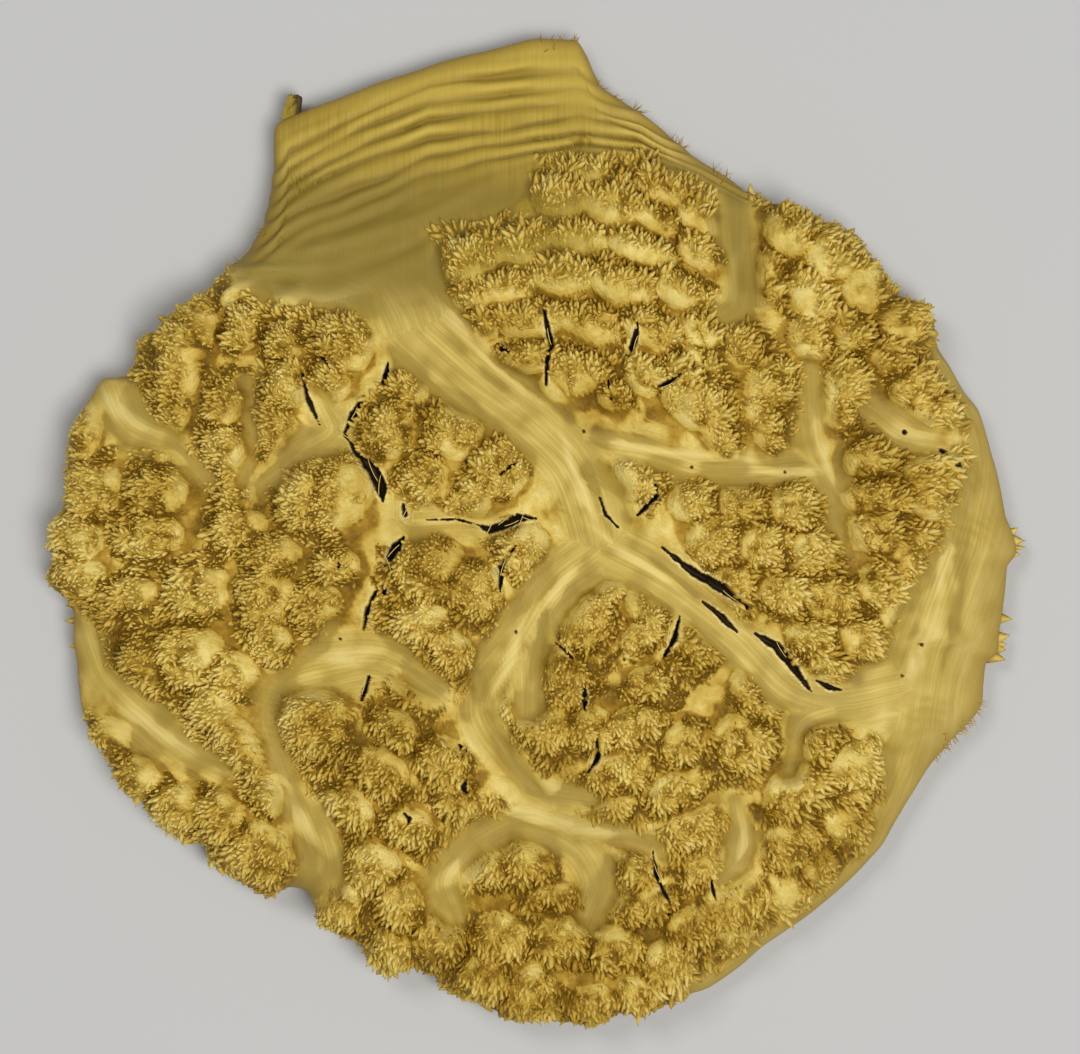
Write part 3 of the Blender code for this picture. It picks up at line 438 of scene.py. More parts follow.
def along_lines(lines, x, y):
    """Nearest of some lines: distance past its edge, across it and along it, its half
    width there, and how far the spot lies on the line's outer side, from -1 to 1."""
    clear = np.full(np.shape(x), 1.0)
    across, along, width, outer = (np.zeros(np.shape(x)) for _ in range(4))
    for stations in lines:
        columns, rows, widths = np.array(stations, float).T
        px, py = feature_spot(columns, rows)
        widths = widths * PICTURE_SCALE
        start = 0.0
        for i in range(len(px) - 1):
            dx, dy = px[i + 1] - px[i], py[i + 1] - py[i]
            length = math.hypot(dx, dy)
            margin = LINE_REACH + max(widths[i], widths[i + 1])
            near = np.abs(x - px[i] - dx / 2) < abs(dx) / 2 + margin
            near = np.flatnonzero(near & (np.abs(y - py[i] - dy / 2) < abs(dy) / 2 + margin))
            nx, ny = x[near], y[near]
            t = np.clip(((nx - px[i]) * dx + (ny - py[i]) * dy) / length ** 2, 0.0, 1.0)
            w = widths[i] + t * (widths[i + 1] - widths[i])
            ox, oy = nx - px[i] - t * dx, ny - py[i] - t * dy
            off = np.hypot(ox, oy)
            won = off - w < clear[near]
            spot = near[won]
            side = (ox * nx + oy * ny) / (np.hypot(nx, ny) * off + 1e-9)
            clear[spot] = (off - w)[won]
            across[spot] = ((oy * dx - ox * dy) / length)[won]
            along[spot] = (start + t * length)[won]
            width[spot] = w[won]
            outer[spot] = side[won]
            start += length
    return clear, across, along, width, outer


def knobs_at(x, y):
    """The small knobs that make up the lobes: how far out on its own knob a spot lies, how
    far it is from the seam to the next one, the way from the knob's middle, and its number."""
    x = x + uneven(x, y, KNOB_WAVER[0])
    y = y + uneven(x, y, KNOB_WAVER[1])
    column = np.floor(x / KNOB_SPACING).astype(int)
    row = np.floor(y / KNOB_SPACING).astype(int)
    nearest, second = np.full(np.shape(x), 9.0), np.full(np.shape(x), 9.0)
    way_x, way_y, number = (np.zeros(np.shape(x)) for _ in range(3))
    for i in (-1, 0, 1):
        for j in (-1, 0, 1):
            place = KNOB_PLACES[(column + i) % len(KNOB_PLACES), (row + j) % len(KNOB_PLACES)]
            ox = x / KNOB_SPACING - column - i - place[..., 0]
            oy = y / KNOB_SPACING - row - j - place[..., 1]
            gap = np.hypot(ox, oy)
            closer = gap < nearest
            second = np.where(closer, nearest, np.minimum(second, gap))
            nearest = np.where(closer, gap, nearest)
            way_x, way_y = np.where(closer, ox, way_x), np.where(closer, oy, way_y)
            number = np.where(closer, place[..., 2], number)
    return nearest, second - nearest, way_x, way_y, number


def lobes_at(x, y):
    """Rise of the lobes, and how far out on its own lobe each spot lies, from -1 to 1."""
    rise = np.zeros(np.shape(x))
    closest = np.full(np.shape(x), -1e9)
    outermost = np.zeros(np.shape(x))
    for column, row, along, across, height in LOBES:
        cx, cy = feature_spot(column, row)
        reach = math.hypot(cx, cy)
        ox, oy = cx / reach, cy / reach
        outward = ((x - cx) * ox + (y - cy) * oy) / (along * PICTURE_SCALE)
        sideways = ((y - cy) * ox - (x - cx) * oy) / (across * PICTURE_SCALE)
        past = outward - LOBE_CREST
        skewed = past / np.where(past < 0.0, 1.0 + LOBE_CREST, 1.0 - LOBE_CREST)
        inside = 1.15 - skewed ** 2 - sideways ** 2
        here = 0.001 * height * np.clip(inside, 0.0, 1.0) ** 0.6
        rise = np.maximum(rise, here)
        measure = np.where(inside > 0.0, here, inside)
        nearer = measure > closest
        closest = np.where(nearer, measure, closest)
        outermost = np.where(nearer, outward, outermost)
    return rise, outermost


def folds_at(x, y):
    """Height of the folds of the smooth wood."""
    height = np.zeros(np.shape(x))
    for column, row, along, across, heading, rise in FOLDS:
        cx, cy = feature_spot(column, row)
        cos, sin = math.cos(math.radians(heading)), math.sin(math.radians(heading))
        far = ((x - cx) * cos + (y - cy) * sin) / (along * PICTURE_SCALE)
        off = ((y - cy) * cos - (x - cx) * sin) / (across * PICTURE_SCALE)
        height = height + 0.001 * rise * np.exp(-(far ** 2) - (off - 0.6 * far ** 2) ** 2)
    return height


def ripples_at(x, y):
    """Curly figure of the neck: 1 in each dark valley, 0 on the swells, and its strength."""
    column = PICTURE_CENTRE[0] + x / PICTURE_SCALE
    row = PICTURE_CENTRE[1] - y / PICTURE_SCALE
    row = row + uneven(x, y, RIPPLE_WAVER)
    columns = list(NECK_VALLEYS)
    valleys = [np.interp(column, columns, rows) for rows in zip(*NECK_VALLEYS.values())]
    phase = (row - valleys[0]) / 26.0
    for number in range(len(valleys) - 1):
        top, low = valleys[number], valleys[number + 1]
        phase = np.where(row > top, number + (row - top) / (low - top), phase)
    valley = np.abs(np.cos(math.pi * phase)) ** 3.2
    strength = smooth(-1.1, -0.1, phase) * smooth(6.4, 4.2, phase) * smooth(300.0, 250.0, row)
    strength = strength * np.clip(0.72 + 1.0 * grain_noise(x, 1.6 * y, 0.036, 2.0), 0.1, 1.15)
    return valley, strength


def crack_cut(x, y):
    """Depth of the cracks and insect holes, and the torn lip beside the cracks."""
    rough = uneven(x, y, CRACK_WAVER) + uneven(x, y, CRACK_TEETH)
    clear, _, _, width, _ = along_lines([[(c, r, w / 2) for c, r, w in s] for s in CRACKS], x, y)
    share = np.clip(-(clear + rough) / np.maximum(width, 0.0004), 0.0, 1.0)
    least, more, most = CRACK_DEPTH
    deep = np.minimum(most, least + more * width)
    depth = deep * (1.0 - (1.0 - share) ** 2.2)
    for column, row, radius in HOLES:
        cx, cy = feature_spot(column, row)
        gap = np.hypot(x - cx, y - cy) / (radius * PICTURE_SCALE)
        hole = HOLE_DEPTH * radius * PICTURE_SCALE * smooth(1.05, 0.55, gap)
        depth = np.maximum(depth, hole)
    edge = clear + rough
    lip = smooth(-0.0004, 0.0001, edge) * smooth(0.0013, 0.0004, edge) * (width > 0.0)
    return depth, lip * smooth(0.0004, 0.0012, width)


def shoulder_width(angle):
    degrees = np.degrees(np.arctan2(np.sin(angle), np.cos(angle)))
    rim = smooth(-78.0, -62.0, degrees) * (1.0 - smooth(8.0, 26.0, degrees))
    return SHOULDER + (RIM_SHOULDER - SHOULDER) * rim


def neck_share(angle):
    degrees = np.degrees(angle) % 360.0
    return smooth(72.0, 88.0, degrees) * (1.0 - smooth(118.0, 136.0, degrees))


def coat_at(x, y, ragged, outer, outermost):
    """Thickness of the coat of prickles: none in the channels, on the inner aprons of
    the lobes and round the insect holes."""
    patchy = outermost + uneven(x, y, SMALL_PATCHES) + uneven(x, y, LARGE_PATCHES)
    terraced = smooth(-0.06, 0.0, x) * smooth(0.05, 0.10, y)
    coat = smooth(*COAT_EDGE, ragged - BARE_BANK * np.clip(outer, 0.0, 1.0))
    coat = coat * smooth(*BARE_APRON, patchy - TERRACE_APRON * terraced)
    for column, row, size in HOLES:
        hx, hy = feature_spot(column, row)
        gap = np.hypot(x - hx, y - hy) - size * PICTURE_SCALE
        coat = coat * smooth(*HOLE_BORDER, gap)
    return coat


def round_square(u, v):
    """Which way from the middle a spot of the square goes: its rings become circles."""
    on_u = np.abs(u) >= np.abs(v)
    return np.where(
        on_u,
        np.where(u >= 0, 0.0, math.pi) + (math.pi / 4) * v / np.where(on_u, u + (u == 0), 1.0),
        np.where(v >= 0, 0.5, 1.5) * math.pi
        - (math.pi / 4) * u / np.where(on_u, 1.0, v + (v == 0)),
    )


def bend_over_slab(u, v, in_back):
    """Bends the flat square over the slab.

    Returns the spot, the way out of the surface, and a dictionary of what the wood is
    like there.
    """
    t = np.maximum(np.abs(u), np.abs(v))
    angle = round_square(u, v)
    cos, sin = np.cos(angle), np.sin(angle)
    radius = outline_radius(angle)
    shoulder = shoulder_width(angle)
    neck = neck_share(angle)
    edge = EDGE_HEIGHT + (NECK_EDGE_HEIGHT - EDGE_HEIGHT) * neck
    lift = NECK_LIFT * neck

    turn = np.clip((t - TOP_SHARE) / (SHOULDER_SHARE - TOP_SHARE), 0.0, 1.0) * math.pi / 2
    under = np.clip((t - SHOULDER_SHARE) / (1.0 - SHOULDER_SHARE), 0.0, 1.0) * math.pi / 2
    calm = np.mean([outline_radius(angle + math.radians(step)) for step in range(-6, 7, 2)], axis=0)
    calm = radius + (calm - radius) * (1.0 - np.clip(t / TOP_SHARE, 0.0, 1.0) ** 5)
    reach = np.where(
        t < TOP_SHARE,
        (calm - shoulder) * t / TOP_SHARE,
        radius - shoulder * (1.0 - np.sin(turn)),
    )
    reach = reach - BACK_INSET * (1.0 - neck * 0.6) * (1.0 - np.cos(under))
    x, y = reach * cos, reach * sin
    z = edge + (dome(x, y) - edge) * np.cos(turn)
    z = z - (edge - lift) * np.sin(under)

    clear, across, along, _, outer = along_lines(CURVED_CHANNELS.values(), x, y)
    rim_clear, rim_side, rim_along, _, _ = along_lines([CURVED_CHANNELS["rim"]], x, y)
    past_rim = (rim_side > 0.0) & (rim_along > 0.0) & (reach > 0.1)
    clear = np.where(past_rim, np.minimum(clear, -0.004), clear)
    clear = clear + uneven(x, y, CHANNEL_WAVER)
    ragged = clear + uneven(x, y, RAGGED_EDGE)
    bank = np.where(
        clear > 0.0,
        1.0 - np.exp(-np.clip(clear, 0.0, None) / CHANNEL_BANK),
        -CHANNEL_BOWL * (1.0 - np.exp(np.clip(clear, None, 0.0) / BOWL_EDGE)),
    )
    rise, outermost = lobes_at(x, y)
    lobed = smooth(-0.001, 0.007, clear)
    prickly = coat_at(x, y, ragged, outer, outermost)
    depth, lip = crack_cut(x, y)
    valley, rippled = ripples_at(x, y)
    # Ripple valleys of the neck: cut into the relief, and darkened in colour as painted shade
    groove = valley * rippled * (clear < 0.0)
    # Swells between the ripple valleys, lightened in colour as painted highlight
    swell = (1.0 - valley) ** 1.5 * rippled * (clear < 0.0)
    on_knob, seam, way_x, way_y, knob = knobs_at(x, y)
    knobs = np.clip(0.9 - 1.9 * on_knob, -1.0, 1.0) + uneven(x, y, KNOB_UNEVEN)

    relief = CHANNEL_DEPTH * (bank - CHANNEL_FLOOR) + LOBE_SHARE * rise * lobed
    relief = relief + KNOB_RISE * knobs * lobed * (0.15 + 0.85 * prickly) - RIPPLE_DEPTH * groove
    swirls = uneven(x, y, SWIRLS)
    wrinkles = uneven(x, y, WRINKLES)
    laid = smooth(0.004, -0.002, clear)
    bare_wood = (1.0 - 0.7 * prickly) * (1.0 - 0.7 * rippled) * (1.0 - 0.45 * laid)
    relief = relief + (SWIRL_RISE * swirls + WRINKLE_RISE * wrinkles) * bare_wood
    # Height of the folds; the same height also lightens their colour as painted highlight
    raised = FOLD_SHARE * folds_at(x, y)
    relief = relief + raised * (1.0 - prickly)
    streaks = grain_noise(across, 0.12 * along, 0.0034, 17.0)
    rimmed = smooth(-0.004, 0.018, rim_side) * (rim_along > 0.0) * smooth(0.10, 0.14, reach)
    lean = turn / (math.pi / 2)
    strength = (1.0 - 0.75 * lean) * np.cos(under) ** 2
    out = np.stack([np.sin(turn) * cos, np.sin(turn) * sin, np.cos(turn)], axis=-1)
    spot = np.stack([x, y, z], axis=-1) + out * (relief * strength)[..., None]
    spot[..., 2] -= depth * np.cos(turn)
    prickly = prickly * np.cos(under) ** 2 * (1.0 - smooth(0.0, 1.0, neck) * lean)
    # Low places between the lobes under the prickle coat, darkened in the colours as painted shade
    deep = smooth(0.0040, 0.0, rise) * lobed * smooth(0.0, 0.5, prickly)
    bed = smooth(0.09, 0.16, reach) * laid * smooth(-0.002, 0.010, rim_clear)
    # Swirl and wrinkle relief, with the grain streaks of the channels: the colours paint shade
    # where it is low and highlight where it is high
    shaded = (0.50 * swirls + 0.60 * wrinkles) * (1.0 - 0.65 * laid) + 0.5 * streaks * laid

    inner = (radius - BACK_INSET) * BACK_RING
    flat = np.stack([inner * cos, inner * sin, np.zeros_like(inner)], axis=-1)
    spot = np.where(in_back[..., None], flat, spot)
    on_face = {
        "prickly": prickly,
        # Crack and hole insides, painted near black as shade over the real cut
        "crack": smooth(0.0004, 0.003, depth),
        "lip": lip,
        "channel": smooth(0.008, -0.004, ragged),
        "groove": groove,
        # Painted highlight on the ripple swells and over the neck's flat end
        "swell": np.maximum(swell, 0.8 * smooth(0.183, 0.200, y)),
        # How far the shoulder has turned down; the colour darkens with it as painted shade
        "edge": lean,
        "deep": deep,
        "rim": rimmed,
    }
    wood = {name: np.where(in_back, 0.0, value) for name, value in on_face.items()}
    wood.update({
        "neck": neck * smooth(0.10, 0.13, y),
        # Painted shade on the neck's foot, the slope that faces away from the main light
        "foot": smooth(0.088, 0.112, y) * smooth(0.172, 0.150, y) * smooth(0.004, -0.006, clear),
        "sawn": np.where(in_back, 1.0, smooth(0.5, 1.0, under)),
        "flow": np.stack([across, along, np.zeros_like(along)], axis=-1),
        "knob_way": np.stack([way_x, way_y, np.zeros_like(way_x)], axis=-1),
        "knob": 40.0 * knob + 0.7 * on_knob,
        # Seams between the knobs, darkened in the body and prickle colours as painted shade
        "seam": smooth(0.28, 0.04, seam) * prickly,
        # Painted light from the relief: shade where it is low, highlight on the raised folds, with
        # the channels' grain streaks
        "relief_light_and_streaks": 0.5 + shaded + 400.0 * raised,
        "bed": bed * (0.3 + 0.7 * smooth(0.25, -0.25, swirls)),
        "knobs": knobs,
        "outermost": outermost,
    })
    return spot, out, wood


# Helpers for modelling by hand
def deselect_all():
    for thing in bpy.context.selected_objects:
        thing.select_set(False)


def pick(thing):
    deselect_all()
    thing.select_set(True)
    bpy.context.view_layer.objects.active = thing


def choose_faces(thing, chosen):
    """Selects these faces of the piece and goes into edit mode."""
    pick(thing)
    bpy.ops.object.mode_set(mode="EDIT")
    bpy.ops.mesh.select_mode(type="FACE")
    bpy.ops.mesh.select_all(action="DESELECT")
    bpy.ops.object.mode_set(mode="OBJECT")
    thing.data.polygons.foreach_set("select", np.asarray(chosen, bool))
    bpy.ops.object.mode_set(mode="EDIT")


def face_middles(mesh):
    middles = np.empty(len(mesh.polygons) * 3)
    mesh.polygons.foreach_get("center", middles)
    return middles.reshape(-1, 3)


def corner_spots(mesh):
    spots = np.empty(len(mesh.vertices) * 3)
    mesh.vertices.foreach_get("co", spots)
    return spots.reshape(-1, 3)


def store(mesh, name, values):
    """Keeps a value, or a vector, at each corner for the material to read."""
    values = np.asarray(values, float)
    if values.ndim == 1:
        mesh.attributes.new(name, "FLOAT", "POINT").data.foreach_set("value", values)
    else:
        kept = mesh.attributes.new(name, "FLOAT_VECTOR", "POINT")
        kept.data.foreach_set("vector", values.ravel())


def hollows_of(mesh, rounds):
    """How far each corner lies below the wood around it: above 0 in a hollow."""
    spots = corner_spots(mesh)
    count = len(spots)
    ways = np.empty(count * 3)
    mesh.vertices.foreach_get("normal", ways)
    ends = np.empty(len(mesh.edges) * 2, dtype=np.int64)
    mesh.edges.foreach_get("vertices", ends)
    a, b = ends.reshape(-1, 2).T
    touching = np.bincount(a, minlength=count) + np.bincount(b, minlength=count)
    eased = spots.copy()
    for _ in range(rounds):
        for axis in range(3):
            here = eased[:, axis]
            beside = np.bincount(a, here[b], count) + np.bincount(b, here[a], count)
            eased[:, axis] = 0.4 * here + 0.6 * beside / touching
    return ((eased - spots) * ways.reshape(-1, 3)).sum(axis=1)


def near_features(middles, margin):
    """Which faces of the flat square come to lie within margin of a crack or hole."""
    u, v = middles[:, 0], middles[:, 1]
    spot, _, _ = bend_over_slab(u, v, middles[:, 2] < -0.1)
    x, y = spot[:, 0], spot[:, 1]
    clear = along_lines([[(c, r, w / 2) for c, r, w in s] for s in CRACKS], x, y)[0]
    near = clear < margin
    for column, row, radius in HOLES:
        cx, cy = feature_spot(column, row)
        near |= np.hypot(x - cx, y - cy) < radius * PICTURE_SCALE + margin
    near &= np.maximum(np.abs(u), np.abs(v)) < 0.95
    return near, x, y


BODY_VALUES = ("prickly", "crack", "lip", "channel", "groove", "swell", "neck", "foot", "edge",
               "sawn", "flow", "knob_way", "knob", "seam", "relief_light_and_streaks", "deep", "rim", "bed")


def model_body():
    """The slab: a grid let down at its border for the back, refined at the cracks."""
    deselect_all()
    bpy.ops.mesh.primitive_grid_add(x_subdivisions=GRID_CELLS, y_subdivisions=GRID_CELLS, size=2.0)
    slab = bpy.context.object
    slab.name = slab.data.name = "burl_body"

    middles = face_middles(slab.data)
    near, x, y = near_features(middles, SPLIT_NEAR[0])
    clear = along_lines([v for k, v in CURVED_CHANNELS.items() if "neck_" in k], x, y)[0]
    near |= (clear < 0.0) & (y > 0.125) & (np.abs(middles[:, :2]).max(axis=1) < 0.95)
    choose_faces(slab, near)
    bpy.ops.mesh.subdivide(number_cuts=1)
    bpy.ops.object.mode_set(mode="OBJECT")
    near, x, y = near_features(face_middles(slab.data), SPLIT_NEAR[1])
    choose_faces(slab, near)
    bpy.ops.mesh.subdivide(number_cuts=1)

    bpy.ops.mesh.select_all(action="SELECT")
    bpy.ops.mesh.region_to_loop()
    bpy.ops.mesh.extrude_edges_move(TRANSFORM_OT_translate={"value": (0.0, 0.0, -1.0)})
    bpy.ops.mesh.edge_face_add()
    bpy.ops.mesh.select_all(action="SELECT")
    bpy.ops.mesh.quads_convert_to_tris(quad_method="SHORTEST_DIAGONAL", ngon_method="BEAUTY")
    bpy.ops.object.mode_set(mode="OBJECT")

    flat = corner_spots(slab.data)
    spot, out, wood = bend_over_slab(flat[:, 0], flat[:, 1], flat[:, 2] < -0.5)
    spot[:, 0] += BOX_SHIFT[0]
    spot[:, 1] += BOX_SHIFT[1]
    spot[:, 2] = np.maximum(spot[:, 2], 0.0)
    slab.data.vertices.foreach_set("co", spot.ravel())
    for name in BODY_VALUES:
        store(slab.data, name, wood[name])
    pick(slab)
    bpy.ops.object.mode_set(mode="EDIT")
    bpy.ops.mesh.select_all(action="SELECT")
    bpy.ops.mesh.normals_make_consistent(inside=False)
    bpy.ops.object.mode_set(mode="OBJECT")
    bpy.ops.object.shade_smooth_by_angle(angle=math.radians(70.0))
    # How hollow or rounded the wood is: the colours paint shade in its hollows and highlight on its
    # crests
    hollow = 0.0
    for rounds, full in (FINE_HOLLOW, BROAD_HOLLOW):
        hollow = hollow + 0.5 * np.clip(hollows_of(slab.data, rounds) / full, -1.0, 1.0)
    wood["hollow"] = hollow * (1.0 - wood["sawn"])
    store(slab.data, "hollow", wood["hollow"])
    return slab, out, wood


# Prickles: spots that are tried for them, the least gap, length, width and tilt in the
# middle and what is added at the edge, in metres and degrees
PRICKLES_TRIED = 130000
PRICKLE_GAP = (0.0016, 0.0006)
PRICKLE_LENGTH = (0.0022, 0.0014)
PRICKLE_WIDTH = (0.00098, 0.00030)
PRICKLE_TILT = (40.0, -9.0)
TILT_SPREAD = 9.0
# They lean away from this column and row
PRICKLE_MIDDLE = (570, 530)
FLOOR_GAP = 0.0004
SIDES = ("east", "north_east", "north", "north_west", "west", "south_west", "south", "south_east")


def prickle_spots(slab, out, wood):
    """Seeded spots over the prickly wood, closer together towards the middle."""
    chance = np.random.default_rng(SPOT_SEED)
    mesh = slab.data
    spots = corner_spots(mesh)
    corners = np.empty(len(mesh.loops), dtype=np.int64)
    mesh.loops.foreach_get("vertex_index", corners)
    tris = corners.reshape(-1, 3)
    a, b, c = spots[tris[:, 0]], spots[tris[:, 1]], spots[tris[:, 2]]
    cross = np.cross(b - a, c - a)
    area = np.linalg.norm(cross, axis=1) / 2
    prickly = wood["prickly"][tris].mean(axis=1)
    crack = wood["crack"][tris].max(axis=1)
    weight = area * prickly * (crack < 0.05) * (prickly > 0.10)
    count = PRICKLES_TRIED
    face = chance.choice(len(tris), count, p=weight / weight.sum())
    r1, r2 = chance.random(count), chance.random(count)
    flip = r1 + r2 > 1.0
    r1, r2 = np.where(flip, 1 - r1, r1), np.where(flip, 1 - r2, r2)
    place = a[face] + (b - a)[face] * r1[:, None] + (c - a)[face] * r2[:, None]
    steady = out[tris[face]].mean(axis=1)
    normal = cross[face] / (2 * area[face])[:, None]
    edgeward = smooth(0.05, 0.20, np.hypot(place[:, 0], place[:, 1]))
    spacing = PRICKLE_GAP[0] + PRICKLE_GAP[1] * edgeward
    spacing *= 1.0 - 0.15 * smooth(-0.04, -0.13, place[:, 0])
    spacing *= chance.uniform(0.82, 1.25, count)

    cells = {}
    kept = []
    keys = np.floor(place / spacing.max()).astype(int).tolist()
    places, spacings = place.tolist(), (spacing ** 2).tolist()
    around = [(i, j, k) for i in (-1, 0, 1) for j in (-1, 0, 1) for k in (-1, 0, 1)]
    for number, ((kx, ky, kz), (px, py, pz), gap) in enumerate(zip(keys, places, spacings)):
        crowded = any(
            (px - qx) ** 2 + (py - qy) ** 2 + (pz - qz) ** 2 < gap
            for i, j, k in around
            for qx, qy, qz in cells.get((kx + i, ky + j, kz + k), ())
        )
        if not crowded:
            cells.setdefault((kx, ky, kz), []).append((px, py, pz))
            kept.append(number)
    chosen = face[kept]
    keys = ("knobs", "seam", "deep", "outermost", "hollow")
    own = [wood[key][tris[chosen]].mean(axis=1) for key in keys]
    own.append(wood["knob_way"][tris[chosen]][:, 0, :2])
    return place[kept], normal[kept], steady[kept], prickly[chosen], own


# Rings of a prickle from root to tip: how far along, and how wide where blunt or pointed
PRICKLE_RINGS = (-0.60, -0.05, 0.45, 0.80, 1.0)
BLUNT_WIDTHS = (0.95, 1.0, 0.88, 0.58, 0.0)
POINTED_WIDTHS = (1.15, 1.05, 0.66, 0.30, 0.0)
THORN_WIDTHS = (1.0, 0.92, 0.55, 0.22, 0.0)
PRICKLE_BEND = (0.0, 0.0, -0.05, 0.05, 0.25)


def model_prickle():
    """A cone of unit radius: its root lies below z = 0 and its tip at z = 1."""
    deselect_all()
    root, length = PRICKLE_RINGS[0], PRICKLE_RINGS[-1] - PRICKLE_RINGS[0]
    bpy.ops.mesh.primitive_cone_add(vertices=4, radius1=1.0, radius2=0.0, depth=length,
                                    location=(0.0, 0.0, root + length / 2))
    thorn = bpy.context.object
    bpy.ops.object.transform_apply(location=True, rotation=False, scale=False)
    bpy.ops.object.mode_set(mode="EDIT")
    for height in PRICKLE_RINGS[1:-1]:
        bpy.ops.mesh.select_all(action="SELECT")
        bpy.ops.mesh.bisect(plane_co=(0.0, 0.0, height), plane_no=(0.0, 0.0, 1.0))
    bpy.ops.mesh.select_all(action="SELECT")
    bpy.ops.mesh.quads_convert_to_tris()
    bpy.ops.object.mode_set(mode="OBJECT")
    spots = corner_spots(thorn.data)
    taper = np.maximum((PRICKLE_RINGS[-1] - spots[:, 2]) / length, 0.05)
    spots[:, :2] /= taper[:, None]
    corners = np.empty(len(thorn.data.loops), dtype=np.int64)
    thorn.data.loops.foreach_get("vertex_index", corners)
    bpy.data.objects.remove(thorn)
    return spots, corners.reshape(-1, 3)


def mesh_from(name, spots, tris):
    """A piece from its corners and triangles."""
    mesh = bpy.data.meshes.new(name)
    mesh.vertices.add(len(spots))
    mesh.vertices.foreach_set("co", np.ascontiguousarray(spots, np.float32).ravel())
    mesh.loops.add(len(tris) * 3)
    mesh.loops.foreach_set("vertex_index", np.ascontiguousarray(tris, np.int32).ravel())
    mesh.polygons.add(len(tris))
    mesh.polygons.foreach_set("loop_start", np.arange(0, len(tris) * 3, 3, dtype=np.int32))
    mesh.update(calc_edges=True)
    mesh.validate()
    piece = bpy.data.objects.new(name, mesh)
    bpy.context.scene.collection.objects.link(piece)
    return piece


def thorn_piece(name, spots, cone, tone, share):
    """One piece from many cones, each with a tone and a share of the shade at its root."""
    template, faces = cone
    tris = faces[None] + (np.arange(len(spots)) * len(template))[:, None, None]
    piece = mesh_from(name, spots.reshape(-1, 3), tris.reshape(-1, 3))
    store(piece.data, "rooted", np.tile(np.clip(template[:, 2], 0.0, 1.0), len(spots)))
    store(piece.data, "tone", np.repeat(tone, len(template)))
    store(piece.data, "share", np.repeat(share, len(template)))
    pick(piece)
    bpy.ops.object.shade_smooth()
    return piece


def unit(vectors):
    return vectors / np.maximum(np.linalg.norm(vectors, axis=1), 1e-9)[:, None]


